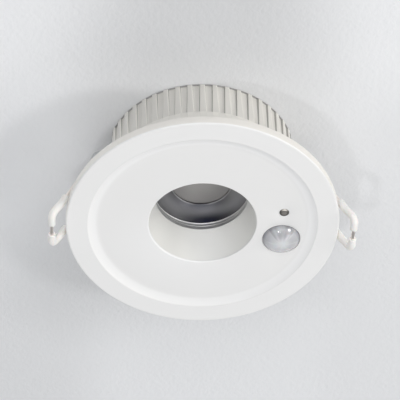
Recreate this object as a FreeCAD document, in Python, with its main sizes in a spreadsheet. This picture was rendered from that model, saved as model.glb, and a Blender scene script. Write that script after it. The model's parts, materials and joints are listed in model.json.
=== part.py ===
"""Recessed ceiling light with a motion sensor and two sprung wire clips.

The light shines down, towards -Z. The origin is the centre of the flange's back face, which
lies on the ceiling, so everything above z = 0 is in the ceiling void. The clips stand at +X
and -X. Lengths are in millimetres and angles in degrees.
"""
import FreeCAD, Part
import math
import os
import types

import Sketcher

# Lengths: name, millimetres, what it measures
LENGTHS = [
    ("flange_ledge_width", 10.0, "flange beyond the spigot"),
    ("flange_thickness", 4.2, "front flange at its edge"),
    ("flange_edge_round", 0.7, "round on the flange's front edge"),
    ("flange_back_chamfer", 0.3, "chamfer on the flange's back edge"),
    ("lens_edge_gap", 0.6, "flat face from the sensor lens to the recess's concave side"),
    ("recess_depth", 1.5, "recess below the flange's front ring"),
    ("recess_sweep_width", 5.0, "radial width of the recess's concave side"),
    ("opening_diameter", 43.4, "light opening in the front face"),
    ("opening_edge_round", 0.35, "round on the opening's front edge"),
    ("opening_lip_thickness", 0.8, "front sheet where the cone seats behind it"),
    ("base_ledge_width", 6.0, "heat sink's base beyond its drum"),
    ("spigot_height", 7.0, "spigot above the ceiling plane"),
    ("spigot_wall", 2.2, "spigot's wall"),
    ("gasket_gap", 2.3, "spigot to the ceiling gasket"),
    ("gasket_width", 5.0, "radial width of the ceiling gasket"),
    ("gasket_thickness", 1.0, "ceiling gasket, uncompressed"),
    ("gasket_groove_depth", 0.6, "groove that holds the gasket"),
    ("seal_width", 1.0, "body seal, radial width and depth"),
    ("seal_wall", 0.5, "spigot wall outside the seal"),
    ("fit_gap", 0.05, "radial gap of a nested fixed piece"),
    ("loose_gap", 0.2, "gap round a piece that drops in"),
    ("overrun", 2.0, "how far a cutting shape passes the surface"),
    ("cone_narrowing_width", 2.6, "how far the cone narrows, on the radius"),
    ("cone_back_height", 13.7, "cone's back end above the ceiling plane"),
    ("cone_wall", 1.3, "cone's wall"),
    ("cone_flange_width", 2.3, "cone's seat beyond the opening"),
    ("cone_flange_thickness", 1.3, "cone's seat"),
    ("ring_wall_thickness", 3.5, "optic ring's wall at its back end"),
    ("ring_step_width", 0.2, "optic ring's bore beyond the cone's"),
    ("ring_widening_width", 0.7, "how far the ring's bore widens, on the radius"),
    ("ring_height", 4.6, "optic ring along the axis"),
    ("ring_line_depth", 0.3, "turned line inside the ring"),
    ("ring_line_width", 0.6, "turned line inside the ring"),
    ("reflector_narrowing_width", 7.3, "how far the bowl narrows, on the radius"),
    ("reflector_depth", 4.3, "reflector along the axis"),
    ("reflector_wall", 0.8, "reflector's wall"),
    ("reflector_bowl_round", 14.0, "radius of the bowl's curve"),
    ("reflector_collar_width", 3.3, "collar beyond the reflector's narrow end"),
    ("diffuser_lap_width", 2.3, "diffuser beyond the reflector's narrow end"),
    ("diffuser_thickness", 1.0, "diffuser's wall"),
    ("diffuser_rise", 1.6, "diffuser's crown above its rim"),
    ("diffuser_rim_width", 1.1, "flat rim round the crown"),
    ("holder_wall_thickness", 5.0, "holder's wall round the diffuser"),
    ("holder_height", 4.4, "holder along the axis"),
    ("holder_screw_inset_width", 2.5, "holder's screws from its outside"),
    ("holder_screw_length", 7.0, "holder's screws under the head"),
    ("led_board_lap_width", 2.0, "light board beyond the holder"),
    ("led_board_thickness", 1.6, "light board"),
    ("emitter_diameter", 13.0, "light emitting disc"),
    ("emitter_thickness", 0.7, "light emitting disc"),
    ("pad_inset_width", 1.0, "thermal pad inside the light board's edge"),
    ("pad_thickness", 0.4, "thermal pad"),
    ("base_thickness", 3.0, "heat sink's base flange"),
    ("lens_spigot_gap", 0.5, "sensor lens's flange to the spigot's wall"),
    ("drum_wall", 4.0, "heat sink's wall at a rib"),
    ("drum_edge_chamfer", 0.15, "chamfer on the heat sink's top edge"),
    ("body_height", 37.8, "heat sink's top above the ceiling plane"),
    ("web_thickness", 3.2, "heat sink's web above the light board"),
    ("groove_length", 16.7, "grooves between the ribs, from the top"),
    ("groove_width", 3.3, "groove at the top"),
    ("groove_depth", 0.86, "groove at the top"),
    ("rear_ring_thickness", 0.3, "insulating ring on the heat sink's top edge"),
    ("rear_ring_setback", 0.25, "insulating ring inside the ribs' outer faces"),
    ("rear_ring_bore_width", 0.4, "insulating ring outside the drum's bore"),
    ("fin_thickness", 1.4, "fins inside the heat sink's top"),
    ("fin_setback", 0.5, "fins below the heat sink's top edge"),
    ("fin_hub_diameter", 18.0, "hub that the fins start from"),
    ("clip_flat_depth", 2.2, "flat for each clip bracket"),
    ("clip_flat_width", 26.0, "flat for each clip bracket"),
    ("inlet_flat_depth", 1.0, "flat round the cable inlet"),
    ("inlet_flat_width", 18.0, "flat round the cable inlet"),
    ("inlet_flat_rise", 8.5, "flat above the cable inlet's axis"),
    ("inlet_board_gap", 0.2, "driver board to the grommet's inner head"),
    ("cable_bore", 6.2, "bore for the supply cable"),
    ("grommet_neck", 9.9, "grommet where it passes the wall"),
    ("grommet_head", 13.6, "grommet's outer head"),
    ("grommet_head_thickness", 2.2, "grommet's outer head"),
    ("grommet_tail", 11.4, "grommet's inner head"),
    ("grommet_tail_thickness", 1.5, "grommet's inner head"),
    ("grommet_wall_gap", 0.6, "inner head clear of the curved wall"),
    ("screw_head", 4.8, "body and bracket screw heads"),
    ("screw_head_height", 1.7, "body and bracket screw heads"),
    ("screw_shank", 2.5, "body and bracket screws"),
    ("screw_length", 6.0, "body and bracket screws under the head"),
    ("small_screw_head", 3.8, "board screw heads"),
    ("small_screw_head_height", 1.3, "board screw heads"),
    ("small_screw_shank", 2.0, "board screws"),
    ("small_screw_length", 4.6, "board screws under the head"),
    ("screw_inset_width", 2.9, "body screws from the spigot's outside"),
    ("screw_boss_diameter", 5.3, "bosses for the body screws"),
    ("slot_width", 0.7, "arms of a screw's cross recess"),
    ("slot_depth", 0.9, "screw's cross recess"),
    ("pilot_gap", 0.02, "thread side of a screw hole, radial"),
    ("lens_bridge_width", 4.1, "front face between the light opening and the sensor lens"),
    ("lens_diameter", 15.0, "sensor lens in the front face"),
    ("lens_rise", 3.4, "sensor lens proud of the face"),
    ("lens_wall", 0.7, "sensor lens's wall"),
    ("lens_flange_width", 1.5, "sensor lens's flange beyond the lens"),
    ("lens_flange_thickness", 1.0, "sensor lens's flange"),
    ("sensor_can_diameter", 9.2, "motion sensor's can"),
    ("sensor_can_height", 3.6, "motion sensor's can"),
    ("sensor_rim_diameter", 10.4, "rim at the can's foot"),
    ("sensor_rim_thickness", 0.6, "rim at the can's foot"),
    ("sensor_window", 4.0, "window in the can's end"),
    ("sensor_window_depth", 0.3, "window in the can's end"),
    ("window_offset_width", 0.1, "small window farther in than the sensor lens"),
    ("window_diameter", 4.0, "small window's hole"),
    ("guide_crown", 0.4, "crown of the light guide's end"),
    ("guide_flange_width", 1.2, "light guide's flange beyond the small window"),
    ("guide_flange_thickness", 0.8, "light guide's flange"),
    ("guide_tail", 2.0, "light guide above the ceiling plane"),
    ("photocell_diameter", 5.0, "light sensor"),
    ("photocell_gap", 0.2, "light guide to light sensor"),
    ("sensor_board_height", 4.8, "sensor board above the ceiling plane"),
    ("board_thickness", 1.6, "both circuit boards"),
    ("sensor_board_inner_width", 6.6, "sensor board inward of the lens's centre"),
    ("sensor_board_outer_width", 7.9, "sensor board outward of the lens's centre"),
    ("sensor_post_diameter", 4.6, "posts under the sensor board"),
    ("sensor_post_low_width", 2.1, "one sensor post inward of the lens's centre"),
    ("sensor_post_high_width", 0.7, "other sensor post inward of the lens's centre"),
    ("driver_board_height", 11.0, "driver board above the ceiling plane"),
    ("driver_board_width", 9.9, "driver board along the radius"),
    ("driver_board_gap", 0.6, "driver board to the drum's wall"),
    ("board_ring_gap", 1.0, "optic ring to the driver board"),
    ("driver_post_diameter", 5.0, "posts above the driver board"),
    ("driver_post_inset_width", 3.5, "driver posts from the drum's bore"),
    ("component_inset_width", 5.7, "tall parts from the drum's bore"),
    ("capacitor_diameter", 8.0, "capacitor"),
    ("capacitor_height", 11.5, "capacitor"),
    ("choke_diameter", 9.2, "choke over its cheeks"),
    ("choke_winding_diameter", 7.8, "choke's winding"),
    ("choke_height", 9.0, "choke"),
    ("choke_cheek", 1.2, "choke's cheeks"),
    ("terminal_length", 10.0, "terminal block along its row"),
    ("terminal_width", 8.0, "terminal block along the radius"),
    ("terminal_height", 9.0, "terminal block"),
    ("terminal_pitch", 5.0, "terminals in the block"),
    ("terminal_wire_hole", 2.6, "wire holes of the terminal block"),
    ("header_length", 7.0, "board header"),
    ("header_width", 2.6, "board header"),
    ("header_offset_width", 4.5, "board header from the optic ring"),
    ("clamp_width", 14.0, "cord clamp across the cable"),
    ("clamp_length", 5.0, "cord clamp along the cable"),
    ("clamp_inset_width", 8.5, "cord clamp's inner face from the drum's bore"),
    ("clamp_bar_height", 4.2, "cord clamp's upper bar"),
    ("clamp_screw_spacing", 10.4, "cord clamp's screws"),
    ("lead_diameter", 1.2, "leads to the light board"),
    ("lead_start_width", 4.0, "leads from the optic ring at the driver board"),
    ("lead_end_width", 1.0, "leads from the light board's edge"),
    ("lead_low_run", 5.9, "leads' first straight run"),
    ("lead_high_run", 4.5, "leads' last straight run"),
    ("clip_overhang_width", 5.5, "clip's end bar beyond the flange"),
    ("clip_drop", 7.5, "clip's end bar below the ceiling plane"),
    ("leg_bend_drop", 1.3, "bend in the clip's leg below the ceiling plane"),
    ("leg_flare_width", 3.7, "clip's end bar beyond the bend in its leg"),
    ("leg_bend_radius", 6.0, "bend in the clip's leg"),
    ("clip_leg_spacing", 16.8, "between the clip's two legs"),
    ("clip_bend_radius", 2.6, "bends at the clip's end bar"),
    ("wire_diameter", 1.4, "clip wire"),
    ("sleeve_diameter", 3.1, "silicone sleeve"),
    ("sleeve_bore", 1.5, "silicone sleeve's bore"),
    ("sleeve_rise", 4.0, "sleeve above the bend, along the leg"),
    ("bare_wire_length", 5.5, "bare wire at the middle of the end bar"),
    ("coil_radius", 3.1, "coil's mean radius"),
    ("coil_pitch", 1.87, "coil's advance in each turn"),
    ("coil_hook_gap", 0.4, "coil to the loop's hook"),
    ("coil_tail_gap", 0.3, "coil's tail to the bracket it bears on"),
    ("coil_tail", 6.0, "coil's straight tail"),
    ("pin_diameter", 3.8, "pivot pin"),
    ("pin_gap", 0.05, "pivot pin in its ears, radial"),
    ("pin_head_diameter", 5.6, "pivot pin's heads"),
    ("pin_head_height", 0.9, "pivot pin's heads"),
    ("bracket_sheet", 1.0, "clip bracket's sheet"),
    ("bracket_side_gap", 0.8, "bracket ear to the leg"),
    ("bracket_ear_radius", 3.0, "round end of a bracket ear"),
    ("bracket_foot_gap", 1.564, "bracket above the heat sink's base"),
    ("bracket_above", 9.3, "bracket above the pivot"),
    ("bracket_below", 12.0, "bracket below the pivot"),
    ("bracket_screw_above", 6.4, "upper bracket screw above the pivot"),
    ("bracket_screw_below", 9.3, "lower bracket screw below the pivot"),
    ("bracket_screw_length", 4.6, "bracket screws under the head"),
    ("bracket_pad_width", 9.0, "pad inside the wall for a bracket screw"),
    ("bracket_pad_depth", 3.6, "pad inside the wall for a bracket screw"),
]

# Angles in degrees: name, value, what it measures
ANGLES = [
    ("body_screw_angle", 60.0, "body screws from the clips' line"),
    ("holder_screw_angle", 90.0, "holder's screws from the clips' line"),
    ("groove_taper_angle", 1.5, "each side of a groove"),
    ("groove_phase_angle", 2.45, "first groove from the clips' line"),
    ("lens_angle", 14.1, "sensor lens from the clips' line"),
    ("window_angle", -11.5, "small window from the clips' line"),
    ("sensor_board_start_angle", -29.0, "sensor board's first end"),
    ("sensor_board_sweep_angle", 70.0, "sensor board's sector"),
    ("sensor_post_low_angle", -23.0, "one sensor post"),
    ("sensor_post_high_angle", 36.0, "other sensor post"),
    ("driver_board_start_angle", 22.0, "driver board's first end"),
    ("driver_board_sweep_angle", 144.0, "driver board's sector"),
    ("driver_post_low_angle", 45.0, "one driver post"),
    ("driver_post_high_angle", 160.0, "other driver post"),
    ("header_angle", 31.0, "board header"),
    ("capacitor_angle", 65.0, "capacitor"),
    ("choke_angle", 115.0, "choke"),
    ("terminal_angle", 140.0, "terminal block"),
    ("lead_first_angle", 45.0, "first lead"),
    ("lead_step_angle", 5.0, "from one lead to the next"),
    ("clip_hook_angle", 270.0, "loop's hook round the pin"),
]

# Counts: name, value, what it counts
COUNTS = [
    ("groove_count", 48, "grooves round the heat sink"),
    ("fin_count", 24, "fins inside the heat sink's top"),
]

SHEET = "Sizes"
FULL_TURN = 360.0
HALF_TURN = 180.0
QUARTER_TURN = 90.0
UP = FreeCAD.Vector(0, 0, 1)
UPRIGHT = FreeCAD.Rotation()
DOWNWARD = FreeCAD.Rotation(FreeCAD.Vector(1, 0, 0), HALF_TURN)
ALONG_X = FreeCAD.Rotation(FreeCAD.Vector(0, 1, 0), QUARTER_TURN)
ALONG_Y = FreeCAD.Rotation(FreeCAD.Vector(1, 0, 0), -QUARTER_TURN)

doc = FreeCAD.newDocument("recessed_light")
nodes = []


class Size:
    """A size that keeps its number together with the sheet's formula for it."""

    def __init__(self, number, formula):
        self.number = float(number)
        self.formula = formula

    def __add__(self, other):
        return join(self, "+", other, self.number + number_of(other))

    def __radd__(self, other):
        return join(other, "+", self, number_of(other) + self.number)

    def __sub__(self, other):
        return join(self, "-", other, self.number - number_of(other))

    def __rsub__(self, other):
        return join(other, "-", self, number_of(other) - self.number)

    def __mul__(self, other):
        return join(self, "*", other, self.number * number_of(other))

    def __rmul__(self, other):
        return join(other, "*", self, number_of(other) * self.number)

    def __truediv__(self, other):
        return join(self, "/", other, self.number / number_of(other))

    def __neg__(self):
        return Size(-self.number, "(-%s)" % self.formula)


def number_of(item):
    return item.number if isinstance(item, Size) else float(item)


def formula_of(item):
    return item.formula if isinstance(item, Size) else repr(float(item))


def join(first, sign, second, number):
    return Size(number, "(%s %s %s)" % (formula_of(first), sign, formula_of(second)))


def cosine(angle):
    return Size(math.cos(math.radians(number_of(angle))), "cos(%s)" % formula_of(angle))


def sine(angle):
    return Size(math.sin(math.radians(number_of(angle))), "sin(%s)" % formula_of(angle))


def larger(first, second):
    return Size(max(first.number, second.number), "max(%s; %s)" % (first.formula, second.formula))


def leg_slope(run, fall, radius):
    """Degrees below the horizontal of a line that leaves a circle and ends at this run and fall."""
    length = math.sqrt(run * run + fall * fall - radius * radius)
    return math.degrees(math.atan2(fall, run) + math.atan2(radius, length))


def polar(reach, angle):
    """The x and y of a point at this distance and angle from the axis."""
    return reach * cosine(angle), reach * sine(angle)


def fill_sheet():
    sheet = doc.addObject("Spreadsheet::Sheet", SHEET)
    found = {}
    row = 1
    for table in (LENGTHS, ANGLES, COUNTS):
        for name, value, meaning in table:
            sheet.set("A%d" % row, meaning)
            sheet.set("B%d" % row, str(value))
            sheet.setAlias("B%d" % row, name)
            found[name] = Size(value, "%s.%s" % (SHEET, name))
            row += 1
    doc.recompute()
    return types.SimpleNamespace(**found)


s = fill_sheet()


# Heights that several pieces share
front_height = -s.flange_thickness
face_height = front_height + s.recess_depth
lip_height = face_height + s.opening_lip_thickness
ring_back_height = s.cone_back_height + s.ring_height
reflector_back_height = ring_back_height + s.reflector_depth
led_board_front = reflector_back_height + s.holder_height
led_board_back = led_board_front + s.led_board_thickness
web_underside = led_board_back + s.pad_thickness
web_top = web_underside + s.web_thickness
base_top = s.spigot_height + s.base_thickness
sensor_board_back = s.sensor_board_height + s.board_thickness
driver_board_back = s.driver_board_height + s.board_thickness
inlet_height = driver_board_back + s.inlet_board_gap + s.grommet_tail / 2
pivot_height = base_top + s.bracket_foot_gap + s.bracket_below

# Radii that several pieces share, from the light opening outwards
opening_radius = s.opening_diameter / 2
cone_back_radius = opening_radius - s.cone_narrowing_width
ring_front_radius = cone_back_radius + s.ring_step_width
ring_back_radius = ring_front_radius + s.ring_widening_width
ring_outer_radius = ring_back_radius + s.ring_wall_thickness
throat_radius = ring_back_radius - s.reflector_narrowing_width
diffuser_radius = throat_radius + s.diffuser_lap_width
holder_radius = diffuser_radius + s.holder_wall_thickness
led_board_radius = holder_radius + s.led_board_lap_width
driver_board_inner_radius = ring_outer_radius + s.board_ring_gap
driver_board_outer_radius = driver_board_inner_radius + s.driver_board_width
drum_bore_radius = driver_board_outer_radius + s.driver_board_gap
drum_radius = drum_bore_radius + s.drum_wall
component_reach = drum_bore_radius - s.component_inset_width
clip_flat_reach = drum_radius - s.clip_flat_depth
inlet_flat_reach = drum_radius - s.inlet_flat_depth
lens_radius = s.lens_diameter / 2
lens_flange_radius = lens_radius + s.lens_flange_width
lens_reach = opening_radius + s.lens_bridge_width + lens_radius
window_reach = lens_reach - s.window_offset_width
recess_radius = lens_reach + lens_radius + s.lens_edge_gap + s.recess_sweep_width
spigot_radius = larger(drum_radius + s.base_ledge_width,
                       lens_reach + lens_flange_radius + s.lens_spigot_gap + s.spigot_wall)
spigot_bore_radius = spigot_radius - s.spigot_wall
flange_radius = spigot_radius + s.flange_ledge_width

# The clip's pivot and end bar; its leg has a slight bend beside the flange's edge
pivot_reach = clip_flat_reach + s.bracket_sheet + s.coil_tail_gap + s.wire_diameter / 2 + s.coil_radius
clip_reach = flange_radius + s.clip_overhang_width
leg_bend_reach = clip_reach - s.leg_flare_width
leg_angle = leg_slope((leg_bend_reach - pivot_reach).number, (pivot_height + s.leg_bend_drop).number,
                      s.coil_radius.number)


def keep(piece, label, spin=0.0):
    """Name a finished sub-part; spin turns it about the light's axis."""
    piece.Label = label
    if spin:
        piece.Placement = FreeCAD.Placement(FreeCAD.Vector(), FreeCAD.Rotation(UP, spin))
    nodes.append(piece)
    return piece


def bind(piece, path, size):
    piece.setExpression(path, formula_of(size))


def put(piece, at, turn=UPRIGHT):
    """Place a piece at sizes from the sheet."""
    piece.Placement = FreeCAD.Placement(FreeCAD.Vector(*[number_of(item) for item in at]), turn)
    for axis, item in zip("xyz", at):
        bind(piece, "Placement.Base." + axis, item)
    return piece


def cylinder(name, radius, height, at, turn=UPRIGHT):
    piece = doc.addObject("Part::Cylinder", name)
    bind(piece, "Radius", radius)
    bind(piece, "Height", height)
    return put(piece, at, turn)


def box(name, length, width, height, at, turn=UPRIGHT):
    piece = doc.addObject("Part::Box", name)
    bind(piece, "Length", length)
    bind(piece, "Width", width)
    bind(piece, "Height", height)
    return put(piece, at, turn)


def radial_box(name, inner, outer, width, low, high, angle):
    """A box that runs out along one radius, centred on it."""
    half = width / 2
    at = (inner * cosine(angle) + half * sine(angle), inner * sine(angle) - half * cosine(angle), low)
    piece = box(name, outer - inner, width, high - low, at, FreeCAD.Rotation(UP, number_of(angle)))
    if isinstance(angle, Size):
        bind(piece, "Placement.Rotation.Angle", angle)
    return piece


def fuse(name, pieces):
    piece = doc.addObject("Part::MultiFuse", name)
    piece.Shapes = pieces
    return piece


def cut(name, base, tools):
    piece = doc.addObject("Part::Cut", name)
    piece.Base = base
    piece.Tool = tools[0] if len(tools) == 1 else fuse(name + "_tools", tools)
    return piece


def group(name, pieces):
    piece = doc.addObject("Part::Compound", name)
    piece.Links = pieces
    return piece


def left_round(radius):
    """The edge to the next corner is an arc whose centre lies to the left of travel."""
    return 1.0, radius


def right_round(radius):
    return -1.0, radius


def bowed(here, there, side, radius):
    middle = (here + there) / 2
    along = there - here
    left = FreeCAD.Vector(-along.y, along.x, 0).normalize()
    rise = math.sqrt(max(radius ** 2 - (along.Length / 2) ** 2, 0.0))
    crown = middle + left * side * (rise - radius)
    return Part.Arc(here, crown, there)


def origin_item(body, role):
    return next(item for item in body.Origin.OriginFeatures if item.Role == role)


def outline(body, name, plane, corners):
    """A closed sketch; each corner is two sizes and, for an arc, how it bends to the next."""
    sketch = body.newObject("Sketcher::SketchObject", name)
    sketch.AttachmentSupport = [(origin_item(body, plane), "")]
    sketch.MapMode = "FlatFace"
    spots = [FreeCAD.Vector(number_of(item[0]), number_of(item[1]), 0) for item in corners]
    total = len(corners)
    edges = []
    for index, corner in enumerate(corners):
        here, there = spots[index], spots[(index + 1) % total]
        if len(corner) == 3:
            side, radius = corner[2]
            edges.append(bowed(here, there, side, number_of(radius)))
        else:
            edges.append(Part.LineSegment(here, there))
    sketch.addGeometry(edges, False)
    first = []
    for index in range(total):
        from_start, from_end = [(sketch.getPoint(index, which) - spots[index]).Length for which in (1, 2)]
        first.append(1 if from_start < from_end else 2)
    rules = []
    formulas = []
    for index, corner in enumerate(corners):
        before = (index - 1) % total
        rules.append(Sketcher.Constraint("Coincident", before, 3 - first[before], index, first[index]))
        formulas.append(None)
        for kind, item, axis in (("DistanceX", corner[0], -2), ("DistanceY", corner[1], -1)):
            if number_of(item) == 0:
                rules.append(Sketcher.Constraint("PointOnObject", index, first[index], axis))
                formulas.append(None)
            else:
                rules.append(Sketcher.Constraint(kind, -1, 1, index, first[index], number_of(item)))
                formulas.append(formula_of(item))
        if len(corner) == 3:
            rules.append(Sketcher.Constraint("Radius", index, number_of(corner[2][1])))
            formulas.append(formula_of(corner[2][1]))
    sketch.addConstraint(rules)
    for index, formula in enumerate(formulas):
        if formula:
            sketch.setExpression("Constraints[%d]" % index, formula)
    return sketch


def turned(name, corners, sweep=None, start=0.0):
    """A piece turned about Z from an outline of radii and heights."""
    body = doc.addObject("PartDesign::Body", name)
    sketch = outline(body, name + "_outline", "XZ_Plane", corners)
    spin = body.newObject("PartDesign::Revolution", name + "_turning")
    spin.Profile = sketch
    spin.ReferenceAxis = (sketch, ["V_Axis"])
    if sweep is None:
        spin.Angle = FULL_TURN
    else:
        bind(spin, "Angle", sweep)
        body.Placement = FreeCAD.Placement(FreeCAD.Vector(), FreeCAD.Rotation(UP, number_of(start)))
        bind(body, "Placement.Rotation.Angle", start)
    body.Tip = spin
    return body


def screw(name, head, head_height, shank, length, at, turn=UPRIGHT):
    """A pan head screw with a cross recess; its head's underside is at the given place."""
    arm = head / 2
    top = head_height - s.slot_depth
    parts = [
        cylinder(name + "_head", head / 2, head_height, (0, 0, 0)),
        cylinder(name + "_shank", shank / 2, length, (0, 0, -length)),
    ]
    slots = [
        box(name + "_slot_a", arm, s.slot_width, head_height, (-arm / 2, -s.slot_width / 2, top)),
        box(name + "_slot_b", s.slot_width, arm, head_height, (-s.slot_width / 2, -arm / 2, top)),
    ]
    piece = cut(name, fuse(name + "_blank", parts), slots)
    return put(piece, at, turn)


def large_screw(name, at, turn=UPRIGHT, length=None):
    return screw(name, s.screw_head, s.screw_head_height, s.screw_shank, length or s.screw_length, at, turn)


def small_screw(name, at, turn=UPRIGHT, length=None):
    return screw(name, s.small_screw_head, s.small_screw_head_height, s.small_screw_shank,
                 length or s.small_screw_length, at, turn)


def body_screw_spots():
    """The four body screws, mirrored in the clips' line and across it."""
    x, y = polar(spigot_radius - s.screw_inset_width, s.body_screw_angle)
    return [(x, y), (-x, y), (-x, -y), (x, -y)]


def bracket_screw_heights():
    return pivot_height - s.bracket_screw_below, pivot_height + s.bracket_screw_above


def sensor_post_spots():
    return [polar(lens_reach - s.sensor_post_low_width, s.sensor_post_low_angle),
            polar(lens_reach - s.sensor_post_high_width, s.sensor_post_high_angle)]


def driver_post_spots():
    reach = drum_bore_radius - s.driver_post_inset_width
    return [polar(reach, s.driver_post_low_angle), polar(reach, s.driver_post_high_angle)]


def holder_screw_spots():
    x, y = polar(holder_radius - s.holder_screw_inset_width, s.holder_screw_angle)
    return [(x, y), (-x, -y)]


# Front of the light
def make_front_bezel():
    gasket_inner = spigot_radius + s.gasket_gap
    gasket_outer = gasket_inner + s.gasket_width
    groove_floor = -s.gasket_groove_depth
    seal_outer = spigot_radius - s.seal_wall
    seal_inner = seal_outer - s.seal_width
    seal_floor = s.spigot_height - s.seal_width
    seat_radius = opening_radius + s.cone_flange_width + s.fit_gap
    edge = s.opening_edge_round
    sweep = s.recess_sweep_width
    sweep_round = (sweep * sweep + s.recess_depth * s.recess_depth) / (2 * s.recess_depth)
    shell = turned("bezel_shell", [
        (opening_radius + edge, face_height),
        (recess_radius - sweep, face_height, right_round(sweep_round)),
        (recess_radius, front_height),
        (flange_radius - s.flange_edge_round, front_height, left_round(s.flange_edge_round)),
        (flange_radius, front_height + s.flange_edge_round),
        (flange_radius, -s.flange_back_chamfer),
        (flange_radius - s.flange_back_chamfer, 0),
        (gasket_outer + s.fit_gap, 0),
        (gasket_outer + s.fit_gap, groove_floor),
        (gasket_inner - s.fit_gap, groove_floor),
        (gasket_inner - s.fit_gap, 0),
        (spigot_radius, 0),
        (spigot_radius, s.spigot_height),
        (spigot_bore_radius, s.spigot_height),
        (spigot_bore_radius, 0),
        (seat_radius, 0),
        (seat_radius, lip_height),
        (opening_radius, lip_height),
        (opening_radius, face_height + edge, left_round(edge)),
    ])
    added = [shell]
    holes = [turned("seal_groove", [
        (seal_inner, seal_floor),
        (seal_outer, seal_floor),
        (seal_outer, s.spigot_height + s.overrun),
        (seal_inner, s.spigot_height + s.overrun),
    ])]
    thread = s.screw_shank / 2 + s.pilot_gap
    for index, (x, y) in enumerate(body_screw_spots()):
        added.append(cylinder("bezel_boss_%d" % index, s.screw_boss_diameter / 2,
                              s.spigot_height - face_height / 2, (x, y, face_height / 2)))
        holes.append(cylinder("bezel_thread_%d" % index, thread, s.screw_length,
                              (x, y, base_top - s.screw_length)))
    small_thread = s.small_screw_shank / 2 + s.pilot_gap
    for index, (x, y) in enumerate(sensor_post_spots()):
        added.append(cylinder("sensor_post_%d" % index, s.sensor_post_diameter / 2,
                              s.sensor_board_height - face_height / 2, (x, y, face_height / 2)))
        holes.append(cylinder("sensor_post_thread_%d" % index, small_thread, s.small_screw_length,
                              (x, y, sensor_board_back - s.small_screw_length)))
    x, y = polar(lens_reach, s.lens_angle)
    depth = s.flange_thickness + s.overrun
    holes.append(cylinder("lens_hole", lens_radius + s.loose_gap, depth, (x, y, front_height)))
    x, y = polar(window_reach, s.window_angle)
    holes.append(cylinder("window_hole", s.window_diameter / 2, depth, (x, y, front_height)))
    keep(cut("bezel", fuse("bezel_solid", added), holes), "front_bezel")
    keep(turned("gasket", [
        (gasket_inner, groove_floor),
        (gasket_outer, groove_floor),
        (gasket_outer, groove_floor + s.gasket_thickness),
        (gasket_inner, groove_floor + s.gasket_thickness),
    ]), "ceiling_gasket")
    keep(turned("seal", [
        (seal_inner + s.fit_gap, seal_floor),
        (seal_outer - s.fit_gap, seal_floor),
        (seal_outer - s.fit_gap, s.spigot_height),
        (seal_inner + s.fit_gap, s.spigot_height),
    ]), "body_seal")


def make_cone():
    seat_outer = opening_radius + s.cone_flange_width
    seat_back = lip_height + s.cone_flange_thickness
    keep(turned("cone", [
        (opening_radius, lip_height),
        (seat_outer, lip_height),
        (seat_outer, seat_back),
        (opening_radius + s.cone_wall, seat_back),
        (cone_back_radius + s.cone_wall, s.cone_back_height),
        (cone_back_radius, s.cone_back_height),
    ]), "anti_glare_cone")


def make_optics():
    middle = s.cone_back_height + s.ring_height / 2
    middle_bore = (ring_front_radius + ring_back_radius) / 2
    line_low = middle - s.ring_line_width / 2
    line_high = middle + s.ring_line_width / 2
    keep(turned("ring", [
        (ring_front_radius, s.cone_back_height),
        (ring_outer_radius, s.cone_back_height),
        (ring_outer_radius, ring_back_height),
        (ring_back_radius, ring_back_height),
        (middle_bore, line_high),
        (middle_bore + s.ring_line_depth, middle),
        (middle_bore, line_low),
    ]), "optic_ring")
    collar = throat_radius + s.reflector_collar_width
    wall = s.reflector_wall
    collar_low = reflector_back_height - wall
    keep(turned("reflector_bowl", [
        (ring_back_radius, ring_back_height),
        (ring_outer_radius, ring_back_height),
        (ring_outer_radius, ring_back_height + wall),
        (ring_back_radius + wall, ring_back_height + wall, left_round(s.reflector_bowl_round)),
        (throat_radius + 2 * wall, collar_low),
        (collar, collar_low),
        (collar, reflector_back_height),
        (throat_radius, reflector_back_height),
        (throat_radius, collar_low, right_round(s.reflector_bowl_round)),
    ]), "reflector")
    rim_inner = diffuser_radius - s.diffuser_rim_width
    rim_back = reflector_back_height + s.diffuser_thickness
    crown = reflector_back_height + s.diffuser_rise
    crown_round = (rim_inner * rim_inner + s.diffuser_rise * s.diffuser_rise) / (2 * s.diffuser_rise)
    keep(turned("diffuser_disc", [
        (rim_inner, reflector_back_height),
        (diffuser_radius, reflector_back_height),
        (diffuser_radius, rim_back),
        (rim_inner, rim_back, left_round(crown_round)),
        (0, crown + s.diffuser_thickness),
        (0, crown, right_round(crown_round)),
    ]), "diffuser")


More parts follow.
